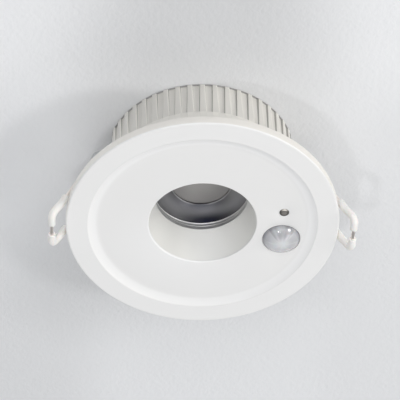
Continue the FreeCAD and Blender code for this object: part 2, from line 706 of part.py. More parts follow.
def make_light_source():
    pocket = diffuser_radius + s.fit_gap
    bore = diffuser_radius - s.diffuser_rim_width
    step = reflector_back_height + s.diffuser_thickness + s.fit_gap
    ring = turned("holder_ring", [
        (pocket, reflector_back_height),
        (holder_radius, reflector_back_height),
        (holder_radius, led_board_front),
        (bore, led_board_front),
        (bore, step),
        (pocket, step),
    ])
    sink_depth = s.small_screw_head_height + s.loose_gap
    head_under = reflector_back_height + sink_depth
    tip = head_under + s.holder_screw_length
    through = s.small_screw_shank / 2 + s.loose_gap
    holes = []
    board_holes = []
    screws = []
    for index, (x, y) in enumerate(holder_screw_spots()):
        holes.append(cylinder("holder_sink_%d" % index, s.small_screw_head / 2 + s.loose_gap, sink_depth,
                              (x, y, reflector_back_height)))
        holes.append(cylinder("holder_hole_%d" % index, through, s.holder_height,
                              (x, y, reflector_back_height)))
        board_holes.append(cylinder("led_board_hole_%d" % index, through,
                                    s.led_board_thickness, (x, y, led_board_front)))
        screws.append(small_screw("holder_screw_%d" % index, (x, y, head_under), DOWNWARD,
                                  s.holder_screw_length))
    keep(cut("holder", ring, holes), "led_holder")
    keep(group("holder_screws", screws), "led_holder_screws")
    plate = cylinder("led_plate", led_board_radius, s.led_board_thickness, (0, 0, led_board_front))
    keep(cut("led_plate_drilled", plate, board_holes), "led_board")
    keep(cylinder("emitter", s.emitter_diameter / 2, s.emitter_thickness,
                  (0, 0, led_board_front - s.emitter_thickness)), "led_emitter")
    pad = cylinder("pad", led_board_radius - s.pad_inset_width, s.pad_thickness, (0, 0, led_board_back))
    pad_holes = [cylinder("pad_hole_%d" % index, through, s.pad_thickness, (x, y, led_board_back))
                 for index, (x, y) in enumerate(holder_screw_spots())]
    keep(cut("pad_drilled", pad, pad_holes), "thermal_pad")
    return tip


# Heat sink: a ribbed drum with a base flange, a web, fins inside its top and a thin ring on its edge
def make_heat_sink(holder_screw_tip):
    edge = s.drum_edge_chamfer
    body = turned("drum", [
        (drum_bore_radius, s.spigot_height),
        (spigot_radius, s.spigot_height),
        (spigot_radius, base_top),
        (drum_radius, base_top),
        (drum_radius, s.body_height - edge),
        (drum_radius - edge, s.body_height),
        (drum_bore_radius, s.body_height),
        (drum_bore_radius, web_top),
        (0, web_top),
        (0, web_underside),
        (drum_bore_radius, web_underside),
    ])
    half = s.groove_width / 2
    inner = drum_radius - s.groove_depth
    outer = drum_radius + s.overrun
    sketch = outline(body, "groove_outline", "XY_Plane", [
        (inner, -half), (outer, -half), (outer, half), (inner, half)])
    sketch.AttachmentOffset = FreeCAD.Placement(FreeCAD.Vector(0, 0, s.body_height.number),
                                                FreeCAD.Rotation(UP, s.groove_phase_angle.number))
    bind(sketch, "AttachmentOffset.Base.z", s.body_height)
    bind(sketch, "AttachmentOffset.Rotation.Angle", s.groove_phase_angle)
    groove = body.newObject("PartDesign::Pocket", "groove")
    groove.Profile = sketch
    bind(groove, "Length", s.groove_length)
    bind(groove, "TaperAngle", -s.groove_taper_angle)
    ribs = body.newObject("PartDesign::PolarPattern", "ribs")
    ribs.Originals = [groove]
    ribs.Axis = (sketch, ["N_Axis"])
    ribs.Angle = FULL_TURN
    bind(ribs, "Occurrences", s.groove_count)
    body.Tip = ribs

    added = [body]
    fin_top = s.body_height - s.fin_setback
    hub = s.fin_hub_diameter / 2
    added.append(cylinder("fin_hub", hub, fin_top - web_underside, (0, 0, web_underside)))
    fin_total = int(s.fin_count.number)
    for index in range(fin_total):
        angle = FULL_TURN * index / fin_total
        added.append(radial_box("fin_%d" % index, hub / 2, drum_radius - s.drum_wall / 2, s.fin_thickness,
                                web_underside + s.web_thickness / 2, fin_top, angle))
    holes = []
    small_thread = s.small_screw_shank / 2 + s.pilot_gap
    for index, (x, y) in enumerate(driver_post_spots()):
        added.append(cylinder("driver_post_%d" % index, s.driver_post_diameter / 2,
                              web_top - driver_board_back, (x, y, driver_board_back)))
        holes.append(cylinder("driver_post_thread_%d" % index, small_thread, s.small_screw_length,
                              (x, y, s.driver_board_height)))
    for index, (x, y) in enumerate(holder_screw_spots()):
        holes.append(cylinder("holder_thread_%d" % index, small_thread, holder_screw_tip - web_underside,
                              (x, y, web_underside)))
    for index, (x, y) in enumerate(body_screw_spots()):
        holes.append(cylinder("base_hole_%d" % index, s.screw_shank / 2 + s.loose_gap, s.base_thickness,
                              (x, y, s.spigot_height)))
    low_screw, high_screw = bracket_screw_heights()
    pad_half = s.bracket_pad_width / 2
    pad_inner = drum_bore_radius - s.bracket_pad_depth
    thread = s.screw_shank / 2 + s.pilot_gap
    reach = s.bracket_screw_length - s.bracket_sheet
    for index, angle in enumerate((0.0, HALF_TURN)):
        added.append(radial_box("screw_pad_%d" % index, pad_inner, clip_flat_reach - s.fit_gap,
                                s.bracket_pad_width, low_screw - pad_half, low_screw + pad_half, angle))
        holes.append(radial_box("clip_flat_%d" % index, clip_flat_reach, spigot_radius + s.overrun,
                                s.clip_flat_width, base_top, s.body_height + s.overrun, angle))
    for index, sign in enumerate((1, -1)):
        turn = FreeCAD.Rotation(FreeCAD.Vector(0, 1, 0), sign * QUARTER_TURN)
        start = sign * (clip_flat_reach - reach)
        for level, height in enumerate((low_screw, high_screw)):
            holes.append(cylinder("bracket_thread_%d_%d" % (index, level), thread, reach + s.fit_gap,
                                  (start, 0, height), turn))
    holes.append(radial_box("inlet_flat", inlet_flat_reach, spigot_radius + s.overrun, s.inlet_flat_width,
                            base_top, inlet_height + s.inlet_flat_rise, QUARTER_TURN))
    holes.append(cylinder("inlet_hole", s.grommet_neck / 2 + s.fit_gap, s.drum_wall + 2 * s.overrun,
                          (0, drum_bore_radius - s.overrun, inlet_height), ALONG_Y))
    keep(cut("heat_sink_casting", fuse("heat_sink_solid", added), holes), "heat_sink")
    ring_inner = drum_bore_radius + s.rear_ring_bore_width
    ring_outer = drum_radius - s.rear_ring_setback
    ring_back = s.body_height + s.rear_ring_thickness
    ring = turned("rear_ring_sheet", [
        (ring_inner, s.body_height),
        (ring_outer, s.body_height),
        (ring_outer, ring_back),
        (ring_inner, ring_back),
    ])
    flats = [radial_box("ring_flat_%d" % index, clip_flat_reach, spigot_radius, s.clip_flat_width,
                        s.body_height, ring_back, angle) for index, angle in enumerate((0.0, HALF_TURN))]
    keep(cut("rear_ring_trimmed", ring, flats), "rear_ring")
    screws = [large_screw("body_screw_%d" % index, (x, y, base_top))
              for index, (x, y) in enumerate(body_screw_spots())]
    keep(group("body_screw_group", screws), "body_screws")


# Motion sensor, small window and their board
def make_sensor():
    x, y = polar(lens_reach, s.lens_angle)
    wall = s.lens_wall
    inner = lens_radius - wall
    dome_round = (lens_radius * lens_radius + s.lens_rise * s.lens_rise) / (2 * s.lens_rise)
    inner_rise = s.lens_rise - wall
    inner_round = (inner * inner + inner_rise * inner_rise) / (2 * inner_rise)
    lens = turned("lens_shell", [
        (0, face_height - s.lens_rise, left_round(dome_round)),
        (lens_radius, face_height),
        (lens_radius, 0),
        (lens_flange_radius, 0),
        (lens_flange_radius, s.lens_flange_thickness),
        (inner, s.lens_flange_thickness),
        (inner, face_height, right_round(inner_round)),
        (0, face_height - inner_rise),
    ])
    keep(put(lens, (x, y, 0)), "pir_lens")
    can_front = s.sensor_board_height - s.sensor_can_height
    can = fuse("sensor_can", [
        cylinder("can_wall", s.sensor_can_diameter / 2, s.sensor_can_height, (x, y, can_front)),
        cylinder("can_rim", s.sensor_rim_diameter / 2, s.sensor_rim_thickness,
                 (x, y, s.sensor_board_height - s.sensor_rim_thickness)),
    ])
    window = s.sensor_window / 2
    sunk = box("can_window", s.sensor_window, s.sensor_window, s.sensor_window_depth,
               (x - window, y - window, can_front))
    keep(cut("sensor_body", can, [sunk]), "pir_sensor")

    x, y = polar(window_reach, s.window_angle)
    guide = s.window_diameter / 2 - s.fit_gap
    guide_flange = s.window_diameter / 2 + s.guide_flange_width
    crown_round = (guide * guide + s.guide_crown * s.guide_crown) / (2 * s.guide_crown)
    rod = turned("guide_rod", [
        (0, face_height - s.guide_crown, left_round(crown_round)),
        (guide, face_height),
        (guide, 0),
        (guide_flange, 0),
        (guide_flange, s.guide_flange_thickness),
        (guide, s.guide_flange_thickness),
        (guide, s.guide_tail),
        (0, s.guide_tail),
    ])
    keep(put(rod, (x, y, 0)), "light_guide")
    cell_front = s.guide_tail + s.photocell_gap
    keep(cylinder("cell", s.photocell_diameter / 2, s.sensor_board_height - cell_front, (x, y, cell_front)),
         "photocell")

    board_inner = lens_reach - s.sensor_board_inner_width
    board_outer = lens_reach + s.sensor_board_outer_width
    plate = turned("sensor_plate", [
        (board_inner, s.sensor_board_height),
        (board_outer, s.sensor_board_height),
        (board_outer, sensor_board_back),
        (board_inner, sensor_board_back),
    ], s.sensor_board_sweep_angle, s.sensor_board_start_angle)
    holes = []
    screws = []
    through = s.small_screw_shank / 2 + s.loose_gap
    for index, (x, y) in enumerate(sensor_post_spots()):
        holes.append(cylinder("sensor_board_hole_%d" % index, through, s.board_thickness,
                              (x, y, s.sensor_board_height)))
        screws.append(small_screw("sensor_screw_%d" % index, (x, y, sensor_board_back)))
    keep(cut("sensor_plate_drilled", plate, holes), "sensor_board")
    keep(group("sensor_screws", screws), "sensor_board_screws")
    header_inner = ring_outer_radius + s.header_offset_width - s.header_width / 2
    keep(radial_box("header", header_inner, header_inner + s.header_width, s.header_length,
                    sensor_board_back, s.driver_board_height, s.header_angle), "board_header")


# Driver: the ring-shaped board round the optics and what stands on it
def make_driver():
    plate = turned("driver_plate", [
        (driver_board_inner_radius, s.driver_board_height),
        (driver_board_outer_radius, s.driver_board_height),
        (driver_board_outer_radius, driver_board_back),
        (driver_board_inner_radius, driver_board_back),
    ], s.driver_board_sweep_angle, s.driver_board_start_angle)
    holes = []
    screws = []
    through = s.small_screw_shank / 2 + s.loose_gap
    for index, (x, y) in enumerate(driver_post_spots()):
        holes.append(cylinder("driver_board_hole_%d" % index, through, s.board_thickness,
                              (x, y, s.driver_board_height)))
        screws.append(small_screw("driver_screw_%d" % index, (x, y, s.driver_board_height), DOWNWARD))
    keep(cut("driver_plate_drilled", plate, holes), "driver_board")
    keep(group("driver_screws", screws), "driver_board_screws")

    x, y = polar(component_reach, s.capacitor_angle)
    keep(cylinder("capacitor", s.capacitor_diameter / 2, s.capacitor_height, (x, y, driver_board_back)),
         "driver_capacitor")
    x, y = polar(component_reach, s.choke_angle)
    keep(fuse("choke", [
        cylinder("choke_foot", s.choke_diameter / 2, s.choke_cheek, (x, y, driver_board_back)),
        cylinder("choke_winding", s.choke_winding_diameter / 2, s.choke_height, (x, y, driver_board_back)),
        cylinder("choke_top", s.choke_diameter / 2, s.choke_cheek,
                 (x, y, driver_board_back + s.choke_height - s.choke_cheek)),
    ]), "driver_choke")

    half = s.terminal_width / 2
    block = radial_box("terminal_body", component_reach - half, component_reach + half, s.terminal_length,
                       driver_board_back, driver_board_back + s.terminal_height, s.terminal_angle)
    holes = []
    screws = []
    turn = FreeCAD.Rotation(UP, s.terminal_angle.number).multiply(ALONG_X)
    screw_seat = driver_board_back + s.terminal_height - s.small_screw_head_height
    side_x, side_y = -sine(s.terminal_angle), cosine(s.terminal_angle)
    start_x, start_y = polar(component_reach - half - s.overrun, s.terminal_angle)
    middle_x, middle_y = polar(component_reach, s.terminal_angle)
    wire_height = driver_board_back + s.terminal_wire_hole
    for index, share in enumerate((-0.5, 0.5)):
        shift_x, shift_y = share * s.terminal_pitch * side_x, share * s.terminal_pitch * side_y
        holes.append(cylinder("wire_hole_%d" % index, s.terminal_wire_hole / 2, half + s.overrun,
                              (start_x + shift_x, start_y + shift_y, wire_height), turn))
        x, y = middle_x + shift_x, middle_y + shift_y
        grip = s.small_screw_head_height
        holes.append(cylinder("screw_well_%d" % index, s.small_screw_head / 2 + s.fit_gap,
                              s.small_screw_head_height, (x, y, screw_seat)))
        holes.append(cylinder("screw_thread_%d" % index, s.small_screw_shank / 2 + s.pilot_gap,
                              grip, (x, y, screw_seat - grip)))
        screws.append(small_screw("terminal_screw_%d" % index, (x, y, screw_seat), UPRIGHT, grip))
    keep(cut("terminal_block_body", block, holes), "terminal_block")
    keep(group("terminal_screw_pair", screws), "terminal_screws")


# Cable inlet: grommet in the wall and the clamp behind it
def make_inlet():
    bore = s.cable_bore / 2
    tail_outer = drum_bore_radius - s.grommet_wall_gap
    tail_inner = tail_outer - s.grommet_tail_thickness
    head_outer = inlet_flat_reach + s.grommet_head_thickness
    solid = fuse("grommet_solid", [
        cylinder("grommet_head", s.grommet_head / 2, s.grommet_head_thickness,
                 (0, inlet_flat_reach, inlet_height), ALONG_Y),
        cylinder("grommet_neck", s.grommet_neck / 2, inlet_flat_reach - tail_inner,
                 (0, tail_inner, inlet_height), ALONG_Y),
        cylinder("grommet_tail", s.grommet_tail / 2, s.grommet_tail_thickness,
                 (0, tail_inner, inlet_height), ALONG_Y),
    ])
    through = cylinder("grommet_bore", bore, head_outer - tail_inner,
                       (0, tail_inner, inlet_height), ALONG_Y)
    keep(cut("grommet", solid, [through]), "cable_grommet")

    clamp_reach = drum_bore_radius - s.clamp_inset_width
    half = s.clamp_width / 2
    left = -half
    bar_top = inlet_height + s.clamp_bar_height
    base = box("clamp_base_block", s.clamp_width, s.clamp_length, inlet_height - driver_board_back,
               (left, clamp_reach, driver_board_back))
    bar = box("clamp_bar_block", s.clamp_width, s.clamp_length, s.clamp_bar_height,
              (left, clamp_reach, inlet_height))
    cable_at = (0, clamp_reach, inlet_height)
    base_holes = [cylinder("clamp_base_bore", bore, s.clamp_length, cable_at, ALONG_Y)]
    bar_holes = [cylinder("clamp_bar_bore", bore, s.clamp_length, cable_at, ALONG_Y)]
    screws = []
    depth = clamp_reach + s.clamp_length / 2
    for index, sign in enumerate((1, -1)):
        x = sign * s.clamp_screw_spacing / 2
        grip = s.clamp_bar_height + s.small_screw_length / 2
        bar_holes.append(cylinder("clamp_bar_hole_%d" % index, s.small_screw_shank / 2 + s.pilot_gap,
                                  s.clamp_bar_height, (x, depth, inlet_height)))
        base_holes.append(cylinder("clamp_base_hole_%d" % index, s.small_screw_shank / 2 + s.pilot_gap,
                                   s.small_screw_length / 2,
                                   (x, depth, inlet_height - s.small_screw_length / 2)))
        screws.append(small_screw("clamp_screw_%d" % index, (x, depth, bar_top), UPRIGHT, grip))
    keep(cut("clamp_base", base, base_holes), "cord_clamp_base")
    keep(cut("clamp_bar", bar, bar_holes), "cord_clamp_bar")
    keep(group("clamp_screws", screws), "cord_clamp_screws")


def tube(path, radius):
    """A round bar along a path of straight and curved edges."""
    wire = Part.Wire(path)
    start = path[0].valueAt(path[0].FirstParameter)
    heading = path[0].tangentAt(path[0].FirstParameter)
    ring = Part.Wire([Part.makeCircle(radius, start, heading)])
    return wire.makePipeShell([ring], True, False)


def rounded_path(points, radii):
    """Straight runs through the points, with a tangent arc of the given radius at each turn."""
    edges = []
    start = points[0]
    for index in range(1, len(points) - 1):
        before = (points[index - 1] - points[index]).normalize()
        after = (points[index + 1] - points[index]).normalize()
        half = before.getAngle(after) / 2
        radius = radii[index - 1]
        reach = radius / math.tan(half)
        entry = points[index] + before * reach
        leave = points[index] + after * reach
        inward = (before + after).normalize()
        crown = points[index] + inward * (radius / math.sin(half) - radius)
        edges.append(Part.LineSegment(start, entry).toShape())
        edges.append(Part.Arc(entry, crown, leave).toShape())
        start = leave
    edges.append(Part.LineSegment(start, points[-1]).toShape())
    return edges


def arc_radius(points, index, share=0.45):
    """The arc at a point is as large as its two runs allow."""
    before = points[index - 1] - points[index]
    after = points[index + 1] - points[index]
    turn = math.pi - before.getAngle(after)
    return share * min(before.Length, after.Length) / math.tan(turn / 2)


def make_leads():
    radius = s.lead_diameter.number / 2
    start = (ring_outer_radius + s.lead_start_width).number
    end = (led_board_radius - s.lead_end_width).number
    low, high = driver_board_back.number, led_board_front.number
    solids = []
    for index in range(2):
        angle = s.lead_first_angle.number + index * s.lead_step_angle.number
        spin = FreeCAD.Rotation(UP, angle)
        profile = [(start, low), (start, low + s.lead_low_run.number),
                   (end, high - s.lead_high_run.number), (end, high)]
        points = [spin.multVec(FreeCAD.Vector(reach, 0, height)) for reach, height in profile]
        radii = [arc_radius(points, 1), arc_radius(points, 2)]
        print("lead %d radii" % index, ["%.2f" % item for item in radii])
        solids.append(tube(rounded_path(points, radii), radius))
    piece = doc.addObject("Part::Feature", "leads")
    piece.Shape = Part.makeCompound(solids)
    keep(piece, "led_leads")


def biarc(here, heading, there, arrival):
    """Two arcs that join two points and their directions."""
    gap = there - here
    both = heading + arrival
    bend = 2 * (1 - heading.dot(arrival))
    reach = (-gap.dot(both) + math.sqrt(gap.dot(both) ** 2 + bend * gap.dot(gap))) / bend
    middle = (here + heading * reach + there - arrival * reach) / 2
    return [one_arc(here, heading, middle), one_arc(there, -arrival, middle, True)]


def one_arc(here, heading, there, backwards=False):
    gap = there - here
    across = (gap - heading * gap.dot(heading)).normalize()
    radius = gap.dot(gap) / (2 * gap.dot(across))
    centre = here + across * radius
    crown = centre + ((here - centre) + (there - centre)).normalize() * radius
    if backwards:
        return Part.Arc(there, crown, here).toShape()
    return Part.Arc(here, crown, there).toShape()


def least_gap(points, diameter, apart):
    """The smallest distance between turns, surface to surface."""
    least = min((first - second).Length
                for index, first in enumerate(points) for second in points[index + apart:])
    return least - diameter


def coil_point(angle, side):
    """The clip's own plane is XZ about the pivot; the angle runs from +X towards +Z."""
    turn = math.radians(angle)
    radius = s.coil_radius.number
    return FreeCAD.Vector(pivot_reach.number + radius * math.cos(turn), side,
                          pivot_height.number + radius * math.sin(turn))


def coil_heading(angle):
    """Direction of travel clockwise round the pivot, seen from -Y."""
    turn = math.radians(angle)
    return FreeCAD.Vector(math.sin(turn), 0, -math.cos(turn))


def make_coil(mirror):
    """One torsion coil: a tail that lies on the bracket, then turns round the pin."""
    wire = s.wire_diameter.number
    pitch = s.coil_pitch.number
    leg_position = QUARTER_TURN - leg_angle
    hook_start = leg_position + s.clip_hook_angle.number - FULL_TURN
    total = HALF_TURN - hook_start + FULL_TURN
    outer = s.clip_leg_spacing.number / 2 - wire - s.coil_hook_gap.number
    inner = outer - pitch * total / FULL_TURN
    steps = math.ceil(total / QUARTER_TURN)
    rise = pitch / (FULL_TURN / HALF_TURN * math.pi * s.coil_radius.number)

    def spot(angle):
        return coil_point(HALF_TURN - angle, mirror * (inner + pitch * angle / FULL_TURN))

    def way(angle):
        return (coil_heading(HALF_TURN - angle) + FreeCAD.Vector(0, mirror * rise, 0)).normalize()

    first = spot(0)
    last = spot(total)
    path = [Part.LineSegment(first - way(0) * s.coil_tail.number, first).toShape()]
    for index in range(steps):
        low, high = total * index / steps, total * (index + 1) / steps
        path += biarc(spot(low), way(low), spot(high), way(high))
    path.append(Part.LineSegment(last, last + way(total) * wire).toShape())
    points = [spot(total * index / (steps * 30)) for index in range(steps * 30 + 1)]
    half_turn_points = int(HALF_TURN / total * steps * 30)
    print("coil least gap %.2f" % least_gap(points, wire, half_turn_points))
    return tube(path, wire / 2)


def clip_leg_points():
    """Corners of the wire loop from one coil to the other, in the light's frame."""
    half = s.clip_leg_spacing.number / 2
    leg_top = coil_point(QUARTER_TURN - leg_angle, 0)
    bend = FreeCAD.Vector(leg_bend_reach.number, 0, -s.leg_bend_drop.number)
    end = FreeCAD.Vector(clip_reach.number, 0, -s.clip_drop.number)
    side = FreeCAD.Vector(0, half, 0)
    return [leg_top + side, bend + side, end + side, end - side, bend - side, leg_top - side]


def two_arcs(points):
    """Two arcs through five points."""
    return [Part.Arc(*points[:3]).toShape(), Part.Arc(*points[2:]).toShape()]


def make_clip_wire():
    wire = s.wire_diameter.number
    half = s.clip_leg_spacing.number / 2
    leg_position = QUARTER_TURN - leg_angle
    hook = s.clip_hook_angle.number
    first = [coil_point(leg_position + hook * step / 4, half) for step in (4, 3, 2, 1, 0)]
    points = clip_leg_points()
    slight, tight = s.leg_bend_radius.number, s.clip_bend_radius.number
    loop = rounded_path(points, [slight, tight, tight, slight])
    last = [FreeCAD.Vector(item.x, -item.y, item.z) for item in reversed(first)]
    return tube(two_arcs(first) + loop + two_arcs(last), wire / 2)


def make_sleeve(mirror):
    """A sleeve from just above one leg's bend, down the leg and along the end bar."""
    top, bend, corner, other = clip_leg_points()[:4]
    rise = (top - bend).normalize()
    across = (other - corner).normalize()
    start = bend + rise * s.sleeve_rise.number
    end = (corner + other) / 2 - across * (s.bare_wire_length.number / 2)
    radii = [s.leg_bend_radius.number, s.clip_bend_radius.number]
    outer = tube(rounded_path([start, bend, corner, end], radii), s.sleeve_diameter.number / 2)
    past = s.overrun.number
    inner = tube(rounded_path([start + rise * past, bend, corner, end + across * past], radii),
                 s.sleeve_bore.number / 2)
    sleeve = outer.cut(inner)
    if mirror < 0:
        sleeve = sleeve.mirror(FreeCAD.Vector(), FreeCAD.Vector(0, 1, 0))
    return sleeve


def shaped(name, shape, label, spin):
    piece = doc.addObject("Part::Feature", name)
    piece.Shape = shape
    keep(piece, label, spin)


def make_clip(side, spin):
    """One spring clip; spin turns it from +X to its own side."""
    ear_inner = s.clip_leg_spacing / 2 + s.wire_diameter / 2 + s.bracket_side_gap
    ear_outer = ear_inner + s.bracket_sheet
    low = pivot_height - s.bracket_below
    high = pivot_height + s.bracket_above
    web = box(side + "_web", s.bracket_sheet, 2 * ear_outer, high - low, (clip_flat_reach, -ear_outer, low))
    added = [web]
    ear = s.bracket_ear_radius
    for index, y in enumerate((ear_inner, -ear_outer)):
        added.append(box("%s_ear_%d" % (side, index), pivot_reach - clip_flat_reach, s.bracket_sheet,
                         2 * ear, (clip_flat_reach, y, pivot_height - ear)))
        added.append(cylinder("%s_ear_end_%d" % (side, index), ear, s.bracket_sheet,
                              (pivot_reach, y, pivot_height), ALONG_Y))
    holes = [cylinder(side + "_pin_hole", s.pin_diameter / 2 + s.pin_gap, 2 * ear_outer,
                      (pivot_reach, -ear_outer, pivot_height), ALONG_Y)]
    screws = []
    head_seat = clip_flat_reach + s.bracket_sheet
    through = s.screw_shank / 2 + s.loose_gap
    for index, height in enumerate(bracket_screw_heights()):
        holes.append(cylinder("%s_web_hole_%d" % (side, index), through, s.bracket_sheet,
                              (clip_flat_reach, 0, height), ALONG_X))
        screws.append(large_screw("%s_bracket_screw_%d" % (side, index), (head_seat, 0, height), ALONG_X,
                                  s.bracket_screw_length))
    blank = fuse(side + "_bracket_blank", added)
    keep(cut(side + "_bracket_sheet", blank, holes), side + "_clip_bracket", spin)
    keep(group(side + "_screws", screws), side + "_bracket_screws", spin)
    pin = fuse(side + "_pin_solid", [
        cylinder(side + "_pin_body", s.pin_diameter / 2, 2 * (ear_outer + s.fit_gap),
                 (pivot_reach, -(ear_outer + s.fit_gap), pivot_height), ALONG_Y),
        cylinder(side + "_pin_head", s.pin_head_diameter / 2, s.pin_head_height,
                 (pivot_reach, ear_outer + s.fit_gap, pivot_height), ALONG_Y),
        cylinder(side + "_pin_foot", s.pin_head_diameter / 2, s.pin_head_height,
                 (pivot_reach, -(ear_outer + s.fit_gap + s.pin_head_height), pivot_height), ALONG_Y),
    ])
    keep(pin, side + "_pivot_pin", spin)
    shaped(side + "_coils", Part.makeCompound([make_coil(1), make_coil(-1)]), side + "_clip_springs", spin)
    shaped(side + "_wire", make_clip_wire(), side + "_clip_wire", spin)
    rear = -1 if spin else 1
    shaped(side + "_rear_tube", make_sleeve(rear), side + "_rear_sleeve", spin)
    shaped(side + "_front_tube", make_sleeve(-rear), side + "_front_sleeve", spin)


def check_document():
    for item in doc.Objects:
        if "Invalid" in item.State or "Error" in item.State:
            raise RuntimeError("%s failed: %s" % (item.Name, item.State))
    for piece in nodes:
        if piece.Shape.isNull() or not piece.Shape.isValid():
            raise RuntimeError("%s has no valid shape" % piece.Label)
        if not piece.Shape.Solids:
            raise RuntimeError("%s holds no solid" % piece.Label)


def write_parts():
    os.makedirs("parts", exist_ok=True)
    for piece in nodes:
        piece.Shape.exportStep(os.path.join("parts", piece.Label + ".step"))
        size = piece.Shape.optimalBoundingBox()
        print("%-22s %2d solid(s) %9.1f mm3  z %6.2f to %6.2f" % (
            piece.Label, len(piece.Shape.Solids), piece.Shape.Volume, size.ZMin, size.ZMax))


make_front_bezel()
make_cone()
make_optics()
make_heat_sink(make_light_source())
make_sensor()
make_driver()
make_inlet()
make_leads()
make_clip("right", 0.0)
make_clip("left", HALF_TURN)
doc.recompute()
check_document()
write_parts()
print("pivot height %.3f, web underside %.3f" % (pivot_height.number, web_underside.number))
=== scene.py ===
"""Recessed ceiling light with a motion sensor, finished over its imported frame.

The light hangs with its face down, so the camera looks up at it. Lengths are in millimetres
in the tables and outlines, and in metres in every mesh.
"""

import json
import math

import bmesh
import bpy
from mathutils import Matrix, Vector


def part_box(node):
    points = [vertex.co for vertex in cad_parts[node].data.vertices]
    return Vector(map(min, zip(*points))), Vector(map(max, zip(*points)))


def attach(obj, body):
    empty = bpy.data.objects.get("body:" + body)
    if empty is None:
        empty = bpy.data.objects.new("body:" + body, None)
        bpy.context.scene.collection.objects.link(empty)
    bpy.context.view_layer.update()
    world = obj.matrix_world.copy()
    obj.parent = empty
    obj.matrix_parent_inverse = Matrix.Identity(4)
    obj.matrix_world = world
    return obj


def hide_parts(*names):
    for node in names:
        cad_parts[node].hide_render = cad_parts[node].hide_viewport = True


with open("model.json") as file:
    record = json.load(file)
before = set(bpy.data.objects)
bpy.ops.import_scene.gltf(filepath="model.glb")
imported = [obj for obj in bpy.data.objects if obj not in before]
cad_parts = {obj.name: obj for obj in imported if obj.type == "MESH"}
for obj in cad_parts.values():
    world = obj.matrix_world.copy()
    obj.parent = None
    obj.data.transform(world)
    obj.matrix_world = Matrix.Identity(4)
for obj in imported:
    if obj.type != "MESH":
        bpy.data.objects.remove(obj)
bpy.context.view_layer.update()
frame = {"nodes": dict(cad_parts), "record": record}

MM = 0.001

# Face and flange
FLANGE_RADIUS, RECESS_RADIUS, OPENING_RADIUS, SPIGOT_RADIUS = 55.0, 46.4, 21.7, 45.0
FRONT_Z, FACE_Z, SPIGOT_TOP = -4.2, -2.7, 7.0
SWEEP_START, SWEEP_ROUND = 41.4, 9.0833
# Sensor lens and small window, each with its distance and angle from the axis
LENS_RADIUS, LENS_REACH, LENS_ANGLE, LENS_DOME = 7.5, 33.3, 14.1, 3.4
WINDOW_RADIUS, WINDOW_REACH, WINDOW_ANGLE = 2.0, 33.2, -11.5
# Each petal's painted shade stands in for the moulded facets seen through the lens
PETALS, PETAL_WIDTH, PETAL_TONES = 8, 45.0, (0.78, 0.88, 0.9, 0.95, 0.87, 0.62, 0.6, 0.75)
# Screws and screw posts; each board post with its distance and angle from the axis
SCREW_HEAD, SCREW_RISE, SCREW_SHANK = 2.4, 1.7, 1.25
SCREW_LENGTH, SCREW_REACH, SCREW_ANGLES = 6.0, 42.1, (60, 120, 240, 300)
BRACKET_SCREW_LENGTH, BRACKET_FACE, BRACKET_SCREW_HEIGHTS = 4.6, 37.8, (14.264, 29.964)
POST_FOOT, BOARD_POSTS = -1.3, ((31.0, -23.0), (32.4, 36.0))
# Optics
CONE_END, CONE_TOP, RING_TOP = 19.1, 13.7, 18.3
BOWL_END, BOWL_TOP, BOWL_ROUND, BOWL_RIBS, RIB_DEPTH = 12.7, 21.8, 14.0, 168, 0.1
DISC_RADIUS, DISC_FOOT, DISC_CROWN = 13.9, 22.6, 1.6
# Drum
DRUM_RADIUS, DRUM_BORE, DRUM_FOOT, DRUM_TOP, REAR_Z = 39.0, 35.0, 10.0, 37.8, 38.1
GROOVE_COUNT, GROOVE_PHASE = 48, 2.45
GROOVE_WIDTH, GROOVE_DEPTH, GROOVE_FOOT = 3.3, 0.86, 21.1
GROOVE_TAPER, WALL_SLANT = math.radians(1.5), 0.28
WEB_FOOT, WEB_TOP, FIN_COUNT, FIN_FOOT, FIN_TOP = 29.0, 32.2, 24, 31.0, 37.3
CLIP_FLAT, CLIP_FLAT_HALF, INLET_FLAT, INLET_Z = 36.8, 13, 38.0, 18.5
# Clips
PIVOT_X, PIVOT_Z = 41.9, 23.564
COIL_RADIUS, COIL_PITCH, COIL_TURN, HOOK_TURN = 3.1, 1.87, 604.0, 270
LEG_SIDE, LEG_BEND_X, LEG_BEND_Z, LEG_BEND_RADIUS = 8.4, 56.8, -1.3, 6.0
BAR_X, BAR_Z, BEND_RADIUS = 60.5, -7.5, 2.6
WIRE_RADIUS, SLEEVE_RADIUS, SLEEVE_RISE, BARE_WIRE = 0.7, 1.55, 4.0, 5.5
# Camera: its angles, its distance, and the flange's radius and centre in the photograph's pixels
VIEW_ANGLES, VIEW_REACH = (-3.6, 46.75, 1.7), 17 * FLANGE_RADIUS
PHOTO_SIDE, FLANGE_PX, OFFSET_PX = 400, 136.8, (-2.65, 25.95)
SENSOR_WIDTH = 36.0
# Making: points closer than the first gap are joined, sectors are welded across the second,
# and the outside distance lies beyond every cut
JOIN_GAP, SECTOR_WELD, OUTSIDE = 0.0005, 0.004, 50
# Stage, with the lamps' distance in metres
LAMP_REACH, FLOOR_COLOUR, BOARD_COLOUR = 1.2, (0.74, 0.745, 0.75), (0.74, 0.745, 0.755)


